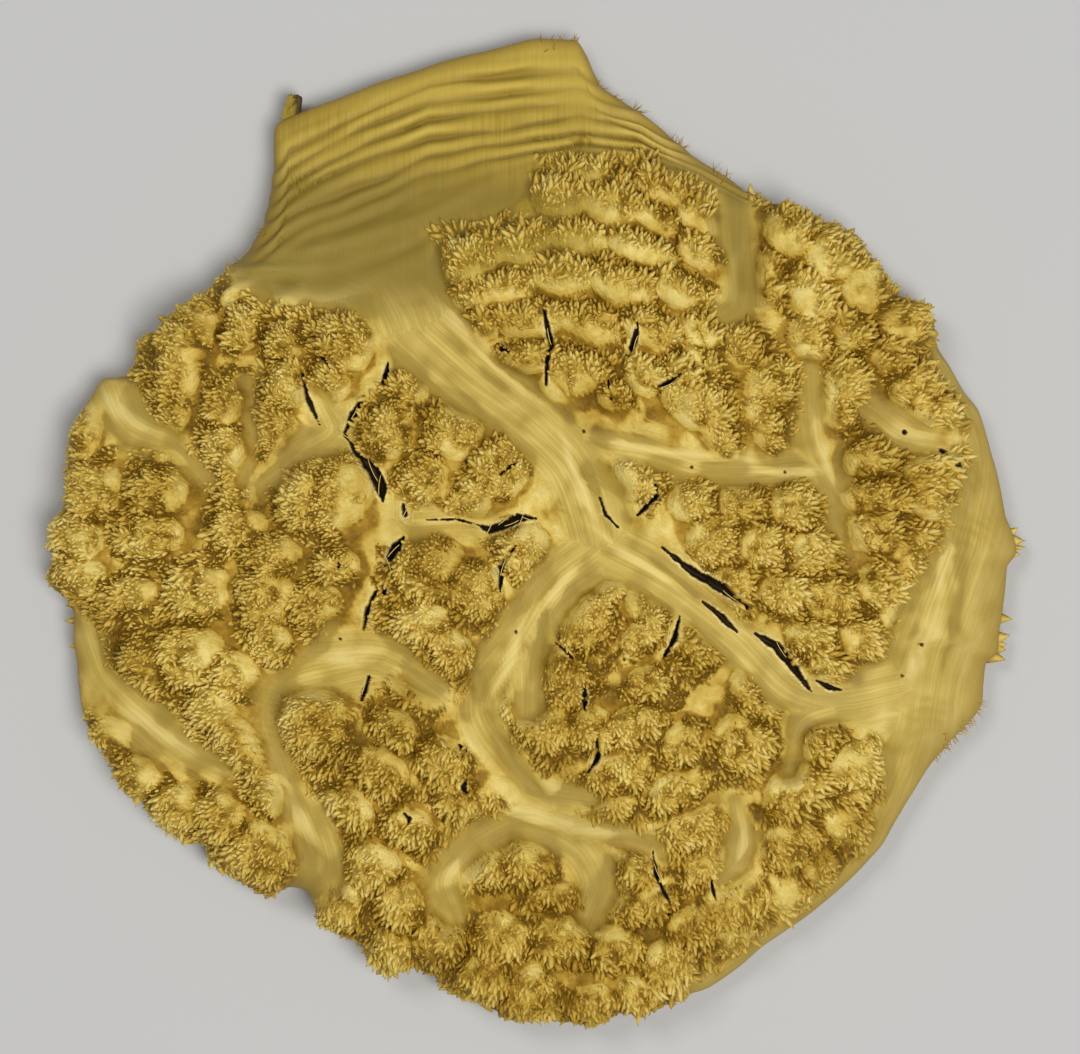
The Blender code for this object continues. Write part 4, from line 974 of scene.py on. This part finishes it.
def plant_prickles(slab, out, wood):
    """Copies of the prickle over the lobes, longer and more slanted towards the edge."""
    place, normal, steady, share, own = prickle_spots(slab, out, wood)
    knobs, seam, deep, outermost, hollow, knob_way = own
    cone = model_prickle()
    template = cone[0]
    chance = np.random.default_rng(COAT_SEED)
    count = len(place)
    away = place[:, :2] - np.array(on_slab(*PRICKLE_MIDDLE)) - np.array(BOX_SHIFT)
    reach = np.linalg.norm(away, axis=1)
    edgeward = smooth(0.02, 0.19, reach)
    x, y = place[:, 0], place[:, 1]
    heading = unit(away) * (0.30 + 0.75 * edgeward)[:, None] + 1.1 * knob_way
    swirl = np.arctan2(heading[:, 1], heading[:, 0])
    swirl = swirl + uneven(x, y, PRICKLE_TURNS) + chance.normal(0.0, 0.30, count)
    outward = np.stack([np.cos(swirl), np.sin(swirl), np.zeros(count)], axis=1)
    up = unit(0.5 * normal + 0.5 * steady)
    slope = unit(outward - up * (outward * up).sum(axis=1)[:, None])
    spread = chance.normal(0.0, TILT_SPREAD, count)
    tilt = np.radians(PRICKLE_TILT[0] + PRICKLE_TILT[1] * edgeward + spread)
    way = unit(slope * np.cos(tilt)[:, None] + up * np.sin(tilt)[:, None])
    way[:, 2] = np.where(place[:, 2] < 0.010, np.maximum(way[:, 2], -0.05), way[:, 2])
    way = unit(way)
    side = unit(np.cross(way, up))
    front = np.cross(side, way)
    big = np.exp(chance.normal(0.0, 0.22, count)) * (1.0 + uneven(x, y, PRICKLE_SIZES))
    big = big * np.clip(1.0 + 0.3 * knobs - 0.35 * seam, 0.5, 1.5)
    leftward = smooth(-0.04, -0.13, x)
    big = big * (1.0 - 0.22 * leftward) * (0.82 + 0.36 * smooth(-0.5, 0.6, outermost))
    grown = 0.45 + 0.55 * smooth(0.10, 0.6, share)
    length = (PRICKLE_LENGTH[0] + PRICKLE_LENGTH[1] * edgeward) * big * grown
    width = (PRICKLE_WIDTH[0] + PRICKLE_WIDTH[1] * edgeward) * np.sqrt(big)
    flatness = chance.uniform(0.8, 1.2, count)
    pointed = np.clip(0.1 + 0.4 * edgeward + chance.normal(0.0, 0.3, count), 0.0, 1.0)[:, None]
    rings = template[:, 2]
    blunt, sharp = (np.interp(rings, PRICKLE_RINGS, w) for w in (BLUNT_WIDTHS, POINTED_WIDTHS))
    girth = blunt + pointed * (sharp - blunt)
    rough = 1.0 + 0.14 * chance.normal(0.0, 1.0, (count, len(template), 2))
    across = template[None, :, 0] * girth * rough[..., 0]
    through = template[None, :, 1] * girth * rough[..., 1]
    through = through + np.interp(rings, PRICKLE_RINGS, PRICKLE_BEND)
    sunk = 0.85 * width * np.cos(tilt)
    base = place - up * sunk[:, None]
    spots = (
        base[:, None, :]
        + across[..., None] * (side * (width * flatness)[:, None])[:, None, :]
        + through[..., None] * (front * (width / flatness)[:, None])[:, None, :]
        + rings[None, :, None] * (way * length[:, None])[:, None, :]
    )
    spots[..., 2] = np.maximum(spots[..., 2], FLOOR_GAP)
    mottled = 0.15 + 0.12 * smooth(0.13, 0.06, reach)
    # Each prickle's own random tone; lighter on the knobs' tops and darker in the seams, low places
    # and hollows as painted light and shade; lighter towards the left, darker towards the bottom,
    # and more amber near the middle
    tone = np.clip(0.42 + mottled * chance.normal(0.0, 1.0, count) - 0.35 * knobs, -0.2, 1.0)
    tone = tone + 0.30 * seam + 0.40 * deep + 0.44 * hollow
    tone = tone - 0.40 * leftward + 0.38 * smooth(-0.09, -0.19, y)
    tone = tone + 0.18 * smooth(0.11, 0.05, reach)
    tone = np.clip(tone, 0.0, 1.4)
    pieces = []
    wedge = (np.degrees(np.arctan2(away[:, 1], away[:, 0])) % 360.0 // 45.0).astype(int)
    for number, name in enumerate(SIDES):
        mine = np.flatnonzero(wedge == number)
        pieces.append(thorn_piece("prickles_" + name, spots[mine], cone, tone[mine], share[mine]))
    return pieces


# More than this many together are hairs, fewer are thorns; how much each of them sways,
# in degrees; where the root of a thorn is, inwards of its spot and above the floor
MOST_THORNS = 3
HAIR_SWAY = 26.0
THORN_SWAY = 3.0
THORN_INSET = 0.0015
THORN_HEIGHT = 0.0122
THORN_TONE = 0.2
SPLINTER_SHARE = 0.3
# Half width and half thickness of a torn fibre, how high it arches, and how far its
# ends are let into the wood
FIBRE_SIZE = (0.00016, 0.00014)
FIBRE_ARCH = 0.0005
FIBRE_SUNK = 0.0004
FIBRE_TONE = -1.4


def add_splinters(slab):
    """The thorns and loose fibres of the edge, from the same cone as the prickles."""
    cone = model_prickle()
    template = cone[0]
    chance = np.random.default_rng(SPLINTER_SEED)
    body = corner_spots(slab.data)
    body = body[body[:, 2] > 0.004]
    width_here = np.interp(template[:, 2], PRICKLE_RINGS, THORN_WIDTHS)
    spots, tones = [], []
    for column, row, how_many, spread, heading, length, radius in SPLINTERS:
        for _ in range(how_many):
            off = chance.uniform(-1.0, 1.0, 2) * spread
            x, y = on_slab(column + off[0], row + off[1], EDGE_HEIGHT)
            x, y = x + BOX_SHIFT[0], y + BOX_SHIFT[1]
            root = body[np.argmin((body[:, 0] - x) ** 2 + (body[:, 1] - y) ** 2)]
            hair = how_many > MOST_THORNS
            loose = HAIR_SWAY if hair else THORN_SWAY
            turn = math.radians(heading + chance.normal(0.0, loose))
            if not hair:
                inset = THORN_INSET * np.array([math.cos(turn), math.sin(turn)])
                root = np.array([x - inset[0], y - inset[1], THORN_HEIGHT])
            rise = math.radians(chance.normal(4.0, 0.6 * loose))
            way = Vector((math.cos(turn) * math.cos(rise), math.sin(turn) * math.cos(rise),
                          math.sin(rise)))
            side = way.cross(Vector((0.0, 0.0, 1.0))).normalized()
            front = side.cross(way)
            size = 0.001 * radius
            reach = 0.001 * length * chance.uniform(0.7, 1.1)
            tones.append(chance.uniform(0.7, 1.5) if hair else THORN_TONE)
            bend = 0.35 * reach * np.clip(template[:, 2], 0.0, 1.0) ** 2 * chance.uniform(-0.6, 0.6)
            spots.append(
                np.array([root])
                + np.outer(template[:, 0] * width_here * size + bend, side)
                + np.outer(template[:, 1] * width_here * size * 0.7, front)
                + np.outer(template[:, 2] * reach, way)
            )
    for column, row, heading, length in TORN_FIBRES:
        x, y = feature_spot(column, row)
        x, y = x + BOX_SHIFT[0], y + BOX_SHIFT[1]
        beside = body[np.hypot(body[:, 0] - x, body[:, 1] - y) < 0.004]
        turn = math.radians(heading)
        way = np.array([math.cos(turn), math.sin(turn), 0.0])
        side = np.array([-way[1], way[0], 0.0])
        reach = 0.001 * length
        arch = np.clip(template[:, 2], -0.5, 1.0)
        start = np.array([x, y, beside[:, 2].max() - FIBRE_SUNK]) - 0.35 * reach * way
        wide, thick = FIBRE_SIZE
        lifted = FIBRE_ARCH * (1.0 - arch ** 2)
        spots.append(
            start
            + np.outer(template[:, 0] * wide + 0.12 * reach * arch ** 2, side)
            + np.outer(template[:, 1] * thick + lifted, [0.0, 0.0, 1.0])
            + np.outer(template[:, 2] * reach, way)
        )
    spots = np.array(spots)
    spots[..., 2] = np.maximum(spots[..., 2], FLOOR_GAP)
    tone = np.concatenate([tones, np.full(len(TORN_FIBRES), FIBRE_TONE)])
    return thorn_piece("edge_splinters", spots, cone, tone, np.full(len(spots), SPLINTER_SHARE))


def add_stub():
    """The splintered stub that stands at the corner of the neck's end."""
    column, row, heading, size = STUB
    x, y = on_slab(column, row, 0.008)
    deselect_all()
    bpy.ops.mesh.primitive_cube_add(size=1.0, location=(0.0, 0.0, 0.0))
    stub = bpy.context.object
    stub.name = stub.data.name = "neck_stub"
    stub.scale = size
    bpy.ops.object.transform_apply(location=False, rotation=False, scale=True)
    bpy.ops.object.mode_set(mode="EDIT")
    bpy.ops.mesh.select_all(action="SELECT")
    bpy.ops.mesh.subdivide(number_cuts=4, fractal=0.4, seed=3)
    bpy.ops.mesh.select_all(action="DESELECT")
    bpy.ops.object.mode_set(mode="OBJECT")
    spots = corner_spots(stub.data)
    tip = spots[:, 1] > 0.3 * size[1]
    ragged = np.random.default_rng(STUB_SEED).uniform(-1.0, 1.0, spots.shape)
    ragged = ragged * STUB_RAGGED
    ragged[:, 1] = np.where(tip, ragged[:, 1], 0.0)
    spots += ragged
    spots[:, 0] *= 1.0 - 0.25 * spots[:, 1] / size[1]
    stub.data.vertices.foreach_set("co", spots.ravel())
    stub.rotation_euler = (math.radians(6.0), 0.0, math.radians(heading - 90.0))
    stub.location = (x + BOX_SHIFT[0], y + BOX_SHIFT[1], STUB_HEIGHT)
    pick(stub)
    bpy.ops.object.transform_apply(location=True, rotation=True, scale=True)
    spots = corner_spots(stub.data)
    # The stub takes the neck's colour with some of the ripple-valley and foot painted shade over
    # it, and its right side painted dark with the crack wash as its shade
    dark = 0.05 + 0.80 * (spots[:, 0] > x + BOX_SHIFT[0] + 0.0012)
    for name, value in (("neck", 1.0), ("groove", 0.25), ("foot", 0.35), ("crack", dark)):
        store(stub.data, name, value + np.zeros(len(spots)))
    return stub


# Tones of the bare wood, from a lit crest (0) to the bottom of a crevice (1)
TONES = [
    (0.0, (0.82, 0.66, 0.205)), (0.25, (0.68, 0.490, 0.102)), (0.50, (0.52, 0.338, 0.046)),
    (0.75, (0.335, 0.186, 0.013)), (1.0, (0.17, 0.092, 0.003)),
]
# Grain from pale to dark
PLAIN_GRAIN = ((0.69, 0.53, 0.140), (0.50, 0.362, 0.072))
NECK_GRAIN = ((0.46, 0.322, 0.044), (0.33, 0.222, 0.028))
SAWN_RINGS = ((0.62, 0.47, 0.20), (0.47, 0.32, 0.11))
# Washes over the wood: colour and share. The washes for hollows, low relief, ripple valleys, the
# neck's foot, the turned-down shoulder and the cracks are painted shade; those for crests, raised
# wood and ripple swells are painted highlight; the others are the wood's own colour
WASHES = {
    "worn": ((0.40, 0.295, 0.055), 0.50),
    "shaded": ((0.34, 0.250, 0.046), 0.55),
    "crest": ((0.80, 0.655, 0.240), 0.60),
    "sunken": ((0.30, 0.215, 0.038), 0.58),
    "raised": ((0.82, 0.68, 0.25), 0.36),
    "drawn": ((0.43, 0.305, 0.055), 0.40),
    "bed": ((0.34, 0.255, 0.060), 0.36),
    "rim": ((0.34, 0.240, 0.044), 0.28),
    "neck_sunken": ((0.20, 0.132, 0.018), 0.75),
    "swell": ((0.66, 0.49, 0.090), 0.62),
    "foot": ((0.265, 0.187, 0.031), 0.85),
    "groove": ((0.25, 0.165, 0.024), 0.70),
    "edge": ((0.34, 0.220, 0.040), 0.75),
    "kerf": ((0.40, 0.27, 0.10), 0.5),
    "crack": ((0.030, 0.018, 0.008), 1.0),
    "torn": ((0.86, 0.72, 0.36), 0.8),
}
CHANNEL_SHARE = 0.85
WOOD_SHEEN = 0.18
# Noise of the wood: how fine, and its detail
BROAD_NOISE = (22.0, 3.0)
WORN_NOISE = (28.0, 3.0)
SPOT_NOISE = (130.0, 4.0)
STREAK_NOISE = (420.0, 3.0)
TORN_NOISE = (500.0, 4.0)
PRICKLE_NOISE = (900.0, 2.0)
# Grain of the wood: how fine along each way, and its detail
FLOW_LINES = ((1000.0, 16.0, 1.0), 4.0)
DRAWN_LINES = ((420.0, 10.0, 1.0), 3.0)
NECK_LINES = ((1300.0, 40.0, 40.0), 3.0)
KERF_LINES = ((14.0, 700.0, 1.0), 2.0)
# Fine relief: strength and height in metres
BODY_RELIEF = (0.6, 0.0009)
PRICKLE_RELIEF = (0.35, 0.0004)


class Bench:
    """Short names for laying out the nodes of one tree."""

    def __init__(self, tree):
        self.nodes, self.links = tree.nodes, tree.links

    def put(self, socket, value):
        if isinstance(value, bpy.types.NodeSocket):
            self.links.new(value, socket)
        elif isinstance(value, tuple) and len(value) == 3 and socket.type == "RGBA":
            socket.default_value = (*value, 1.0)
        else:
            socket.default_value = value

    def add(self, kind, inputs):
        node = self.nodes.new("ShaderNode" + kind)
        for socket, value in inputs.items():
            self.put(node.inputs[socket], value)
        return node

    def attribute(self, name, output="Fac"):
        node = self.nodes.new("ShaderNodeAttribute")
        node.attribute_name = name
        return node.outputs[output]

    def mix(self, first, second, share):
        node = self.nodes.new("ShaderNodeMix")
        node.data_type = "RGBA"
        for socket, value in ((6, first), (7, second), (0, share)):
            self.put(node.inputs[socket], value)
        return node.outputs[2]

    def noise(self, vector, fine, detail):
        return self.add("TexNoise", {
            "Vector": vector, "Scale": fine, "Detail": detail, "Roughness": 0.55,
        }).outputs["Fac"]

    def grain(self, vector, fine, detail):
        """Noise that is drawn out along one way."""
        drawn = self.add("Mapping", {"Vector": vector, "Scale": fine})
        return self.noise(drawn.outputs["Vector"], 1.0, detail)

    def around(self, way, number):
        """Noise that changes only with the way round each knob, and from knob to knob."""
        turned = self.add("VectorMath", {0: way})
        turned.operation = "NORMALIZE"
        node = self.nodes.new("ShaderNodeTexNoise")
        node.noise_dimensions = "4D"
        self.put(node.inputs["Vector"], turned.outputs["Vector"])
        self.put(node.inputs["W"], number)
        node.inputs["Scale"].default_value = 2.6
        node.inputs["Detail"].default_value = 2.0
        return node.outputs["Fac"]

    def ramp(self, value, low, high, first=0.0, last=1.0):
        node = self.nodes.new("ShaderNodeMapRange")
        node.interpolation_type = "SMOOTHSTEP"
        for socket, number in enumerate((value, low, high, first, last)):
            self.put(node.inputs[socket], number)
        return node.outputs["Result"]

    def sums(self, kind, first, second):
        node = self.nodes.new("ShaderNodeMath")
        node.operation = kind
        self.put(node.inputs[0], first)
        self.put(node.inputs[1], second)
        return node.outputs["Value"]

    def times(self, first, *others):
        for other in others:
            first = self.sums("MULTIPLY", first, other)
        return first

    def rest_of(self, value):
        return self.sums("SUBTRACT", 1.0, value)

    def total(self, *parts):
        """Sum of each value times its share."""
        whole = self.times(*parts[0])
        for part in parts[1:]:
            whole = self.sums("ADD", whole, self.times(*part))
        return whole

    def washed(self, colour, **masks):
        """The colour with each wash laid over it in turn, where its mask is."""
        for name, mask in masks.items():
            wash, share = WASHES[name]
            colour = self.mix(colour, wash, self.times(mask, share))
        return colour

    def finish(self, colour, roughness, height, relief):
        wood = self.nodes["Principled BSDF"]
        self.put(wood.inputs["Base Color"], colour)
        self.put(wood.inputs["Roughness"], roughness)
        wood.inputs["Specular IOR Level"].default_value = WOOD_SHEEN
        bump = self.add("Bump", {"Strength": relief[0], "Distance": relief[1], "Height": height})
        self.put(wood.inputs["Normal"], bump.outputs["Normal"])


def wood_tones():
    """Shared tones of the bare wood: depth 0 is a lit crest, 1 the bottom of a crevice."""
    group = bpy.data.node_groups.new("wood_tones", "ShaderNodeTree")
    group.interface.new_socket("Place", in_out="INPUT", socket_type="NodeSocketVector")
    group.interface.new_socket("Depth", in_out="INPUT", socket_type="NodeSocketFloat")
    group.interface.new_socket("Colour", in_out="OUTPUT", socket_type="NodeSocketColor")
    bench = Bench(group)
    source = group.nodes.new("NodeGroupInput")
    result = group.nodes.new("NodeGroupOutput")
    place = source.outputs["Place"]
    broad = bench.ramp(bench.noise(place, *BROAD_NOISE), 0.35, 0.68)
    spots = bench.ramp(bench.noise(place, *SPOT_NOISE), 0.40, 0.66)
    deep = bench.total((source.outputs["Depth"], 1.0), (spots, 0.22), (broad, 0.28))
    ramp = bench.add("ValToRGB", {"Fac": deep})
    tones = ramp.color_ramp.elements
    for position, colour in TONES[1:-1]:
        tones.new(position).color = (*colour, 1.0)
    for end in (0, -1):
        tones[end].color = (*TONES[end][1], 1.0)
    group.links.new(ramp.outputs["Color"], result.inputs["Colour"])
    return group


def use_tones(bench, group, place, depth):
    node = bench.nodes.new("ShaderNodeGroup")
    node.node_tree = group
    bench.put(node.inputs["Place"], place)
    bench.put(node.inputs["Depth"], depth)
    return node.outputs["Colour"]


def new_material(name):
    material = bpy.data.materials.new(name)
    material.use_nodes = True
    bench = Bench(material.node_tree)
    return material, bench, bench.nodes.new("ShaderNodeTexCoord").outputs["Object"]


def sawn_wood(bench, place, kerf):
    """The sawn back: rings of growth with the saw's marks across."""
    rings = bench.add("TexWave", {
        "Vector": place, "Scale": 38.0, "Distortion": 9.0, "Detail": 4.0, "Detail Scale": 0.6,
    })
    rings.wave_type = "RINGS"
    rings.rings_direction = "Z"
    fresh = bench.mix(*SAWN_RINGS, rings.outputs["Fac"])
    return bench.washed(fresh, kerf=bench.ramp(kerf, 0.5, 0.7))


def body_wood(tones):
    material, bench, place = new_material("debarked_acacia")
    prickly, channel, neck, relief_light_and_streaks, hollow, sawn = (
        bench.attribute(n) for n in ("prickly", "channel", "neck", "relief_light_and_streaks", "hollow", "sawn")
    )
    flow = bench.attribute("flow", "Vector")
    fibres = bench.total(
        (bench.grain(flow, *FLOW_LINES), bench.rest_of(neck)),
        (bench.grain(place, *NECK_LINES), neck),
    )
    # Painted shade in the hollows of the wood and painted highlight on its crests
    sunken = bench.ramp(hollow, 0.08, 0.75)
    raised = bench.ramp(hollow, -0.08, -0.75)
    # Painted shade where the relief is low
    shaded = bench.ramp(relief_light_and_streaks, 0.62, 0.18)

    # Clefts between the prickles run outwards from the middle of each knob: a dip in the bump, and
    # dark strokes of painted shade in the colour
    strokes = bench.around(bench.attribute("knob_way", "Vector"), bench.attribute("knob"))
    off_channel = bench.rest_of(bench.ramp(channel, 0.2, 0.9))
    cleft_shade = bench.times(
        bench.ramp(strokes, 0.38, 0.50, 1.0, 0.0), off_channel,
        bench.ramp(prickly, 0.0, 0.5, 0.06, 1.0),
    )
    streak = bench.ramp(bench.noise(place, *STREAK_NOISE), 0.62, 0.38)
    streak = bench.times(streak, off_channel)
    # Darkness of the wood: under the prickle coat, in the clefts, knob seams, hollows, low relief
    # and low places between lobes it is darkened as painted shade; on crests it is lightened as
    # painted highlight; the streaks are the wood's own
    depth = bench.total(
        (bench.ramp(prickly, 0.15, 1.0), 0.26), (cleft_shade, 0.35), (bench.attribute("seam"), 0.26),
        (streak, 0.08), (sunken, 0.45), (raised, -0.14), (shaded, 0.16),
        (bench.attribute("deep"), 0.30),
    )
    colour = use_tones(bench, tones, place, depth)

    # Smooth wood of the channels, and the greener wood of the neck. Their washes paint shade in
    # hollows and low relief and highlight on crests and raised wood
    plain = bench.washed(
        bench.mix(*PLAIN_GRAIN, bench.ramp(fibres, 0.36, 0.66)),
        worn=bench.ramp(bench.noise(place, *WORN_NOISE), 0.45, 0.70),
        shaded=shaded, crest=bench.ramp(relief_light_and_streaks, 0.60, 1.10), sunken=sunken, raised=raised,
        drawn=bench.ramp(bench.grain(flow, *DRAWN_LINES), 0.42, 0.66),
        bed=bench.attribute("bed"), rim=bench.attribute("rim"),
    )
    colour = bench.mix(colour, plain, bench.times(channel, CHANNEL_SHARE))
    olive = bench.mix(*NECK_GRAIN, bench.ramp(fibres, 0.3, 0.8))
    # The neck's hollows get a darker painted shade
    colour = bench.mix(colour, bench.washed(olive, neck_sunken=sunken), neck)
    # Painted highlight on the ripple swells; painted shade on the neck's foot, in the ripple
    # valleys and over the turned-down shoulder
    colour = bench.washed(
        colour, swell=bench.attribute("swell"), foot=bench.attribute("foot"),
        groove=bench.attribute("groove"), edge=bench.ramp(bench.attribute("edge"), 0.22, 1.0),
    )
    kerf = bench.grain(place, *KERF_LINES)
    colour = bench.mix(colour, sawn_wood(bench, place, kerf), sawn)
    torn = bench.ramp(bench.noise(place, *TORN_NOISE), 0.4, 0.6)
    # Cracks and holes painted near black as their shade; pale torn fibres at their lips
    colour = bench.washed(
        colour, crack=bench.attribute("crack"), torn=bench.times(bench.attribute("lip"), torn),
    )
    height = bench.total(
        (fibres, 0.15), (cleft_shade, -1.0), (streak, -0.4), (bench.times(kerf, sawn), 0.6),
    )
    bench.finish(colour, bench.ramp(fibres, 0.2, 0.8, 0.48, 0.66), height, BODY_RELIEF)
    return material


def prickle_wood(tones):
    """Wood of the prickles: darker at the root as painted shade, each with a tone of its own."""
    material, bench, place = new_material("prickle_acacia")
    rooted, tone, share = (bench.attribute(n) for n in ("rooted", "tone", "share"))
    # Painted shade at the prickles' roots, where they meet the wood
    low = bench.times(bench.ramp(rooted, 0.0, 0.55, 1.0, 0.0), share)
    colour = use_tones(bench, tones, place, bench.total((low, 0.30), (tone, 0.32)))
    fine = bench.noise(place, *PRICKLE_NOISE)
    bench.finish(colour, bench.ramp(fine, 0.2, 0.8, 0.46, 0.66), fine, PRICKLE_RELIEF)
    return material


# Soft lights: name, watts, side in metres, place
WINDOWS = [
    ("near_window", 93.0, 1.7, (1.05, -0.85, 3.4)),
    ("far_window", 29.0, 1.1, (-1.25, 1.15, 3.0)),
]
WINDOW_COLOUR = (1.0, 0.975, 0.93)
PAPER_COLOUR = (0.56, 0.565, 0.57, 1.0)
PAPER_ROUGHNESS = 0.85
FLOOR_SIDE = 6.0
ROOM_COLOUR = (0.95, 0.97, 1.0, 1.0)
ROOM_STRENGTH = 0.195
FILM_WIDTH = 36.0


def lay_floor():
    deselect_all()
    bpy.ops.mesh.primitive_plane_add(size=FLOOR_SIDE)
    floor = bpy.context.object
    floor.name = "floor"
    paper = bpy.data.materials.new("pale_paper")
    paper.use_nodes = True
    finish = paper.node_tree.nodes["Principled BSDF"]
    finish.inputs["Base Color"].default_value = PAPER_COLOUR
    finish.inputs["Roughness"].default_value = PAPER_ROUGHNESS
    floor.data.materials.append(paper)


def light_room():
    world = bpy.data.worlds.new("pale_room")
    world.use_nodes = True
    room = world.node_tree.nodes["Background"]
    room.inputs["Color"].default_value = ROOM_COLOUR
    room.inputs["Strength"].default_value = ROOM_STRENGTH
    bpy.context.scene.world = world
    for name, watts, size, place in WINDOWS:
        lamp = bpy.data.lights.new(name, "AREA")
        lamp.energy = watts
        lamp.size = size
        lamp.color = WINDOW_COLOUR
        window = bpy.data.objects.new(name, lamp)
        bpy.context.scene.collection.objects.link(window)
        window.location = place
        window.rotation_euler = (-window.location).to_track_quat("-Z", "Y").to_euler()


def set_camera():
    """Straight above the picture's middle, wide enough for its whole width."""
    view = bpy.data.cameras.new("camera")
    camera = bpy.data.objects.new("camera", view)
    bpy.context.scene.collection.objects.link(camera)
    middle = on_slab(PICTURE[0] / 2, PICTURE[1] / 2)
    camera.location = (middle[0] + BOX_SHIFT[0], middle[1] + BOX_SHIFT[1], VIEW_HEIGHT)
    view.sensor_width = FILM_WIDTH
    view.lens = FILM_WIDTH * VIEW_HEIGHT / (PICTURE[0] * PICTURE_SCALE)
    bpy.context.scene.camera = camera
    bpy.context.scene.view_settings.view_transform = "Standard"


def main():
    slab, out, wood = model_body()
    slab.data.materials.clear()
    tones = wood_tones()
    bare = body_wood(tones)
    slab.data.materials.append(bare)
    prickles = plant_prickles(slab, out, wood)
    thorny = prickle_wood(tones)
    loose = [*prickles, add_splinters(slab)]
    for piece in loose:
        piece.data.materials.append(thorny)
    stub = add_stub()
    stub.data.materials.append(bare)
    loose.append(stub)
    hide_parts("burl_slab")
    for piece in [slab, *loose]:
        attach(piece, "root")
    lay_floor()
    light_room()
    set_camera()


main()
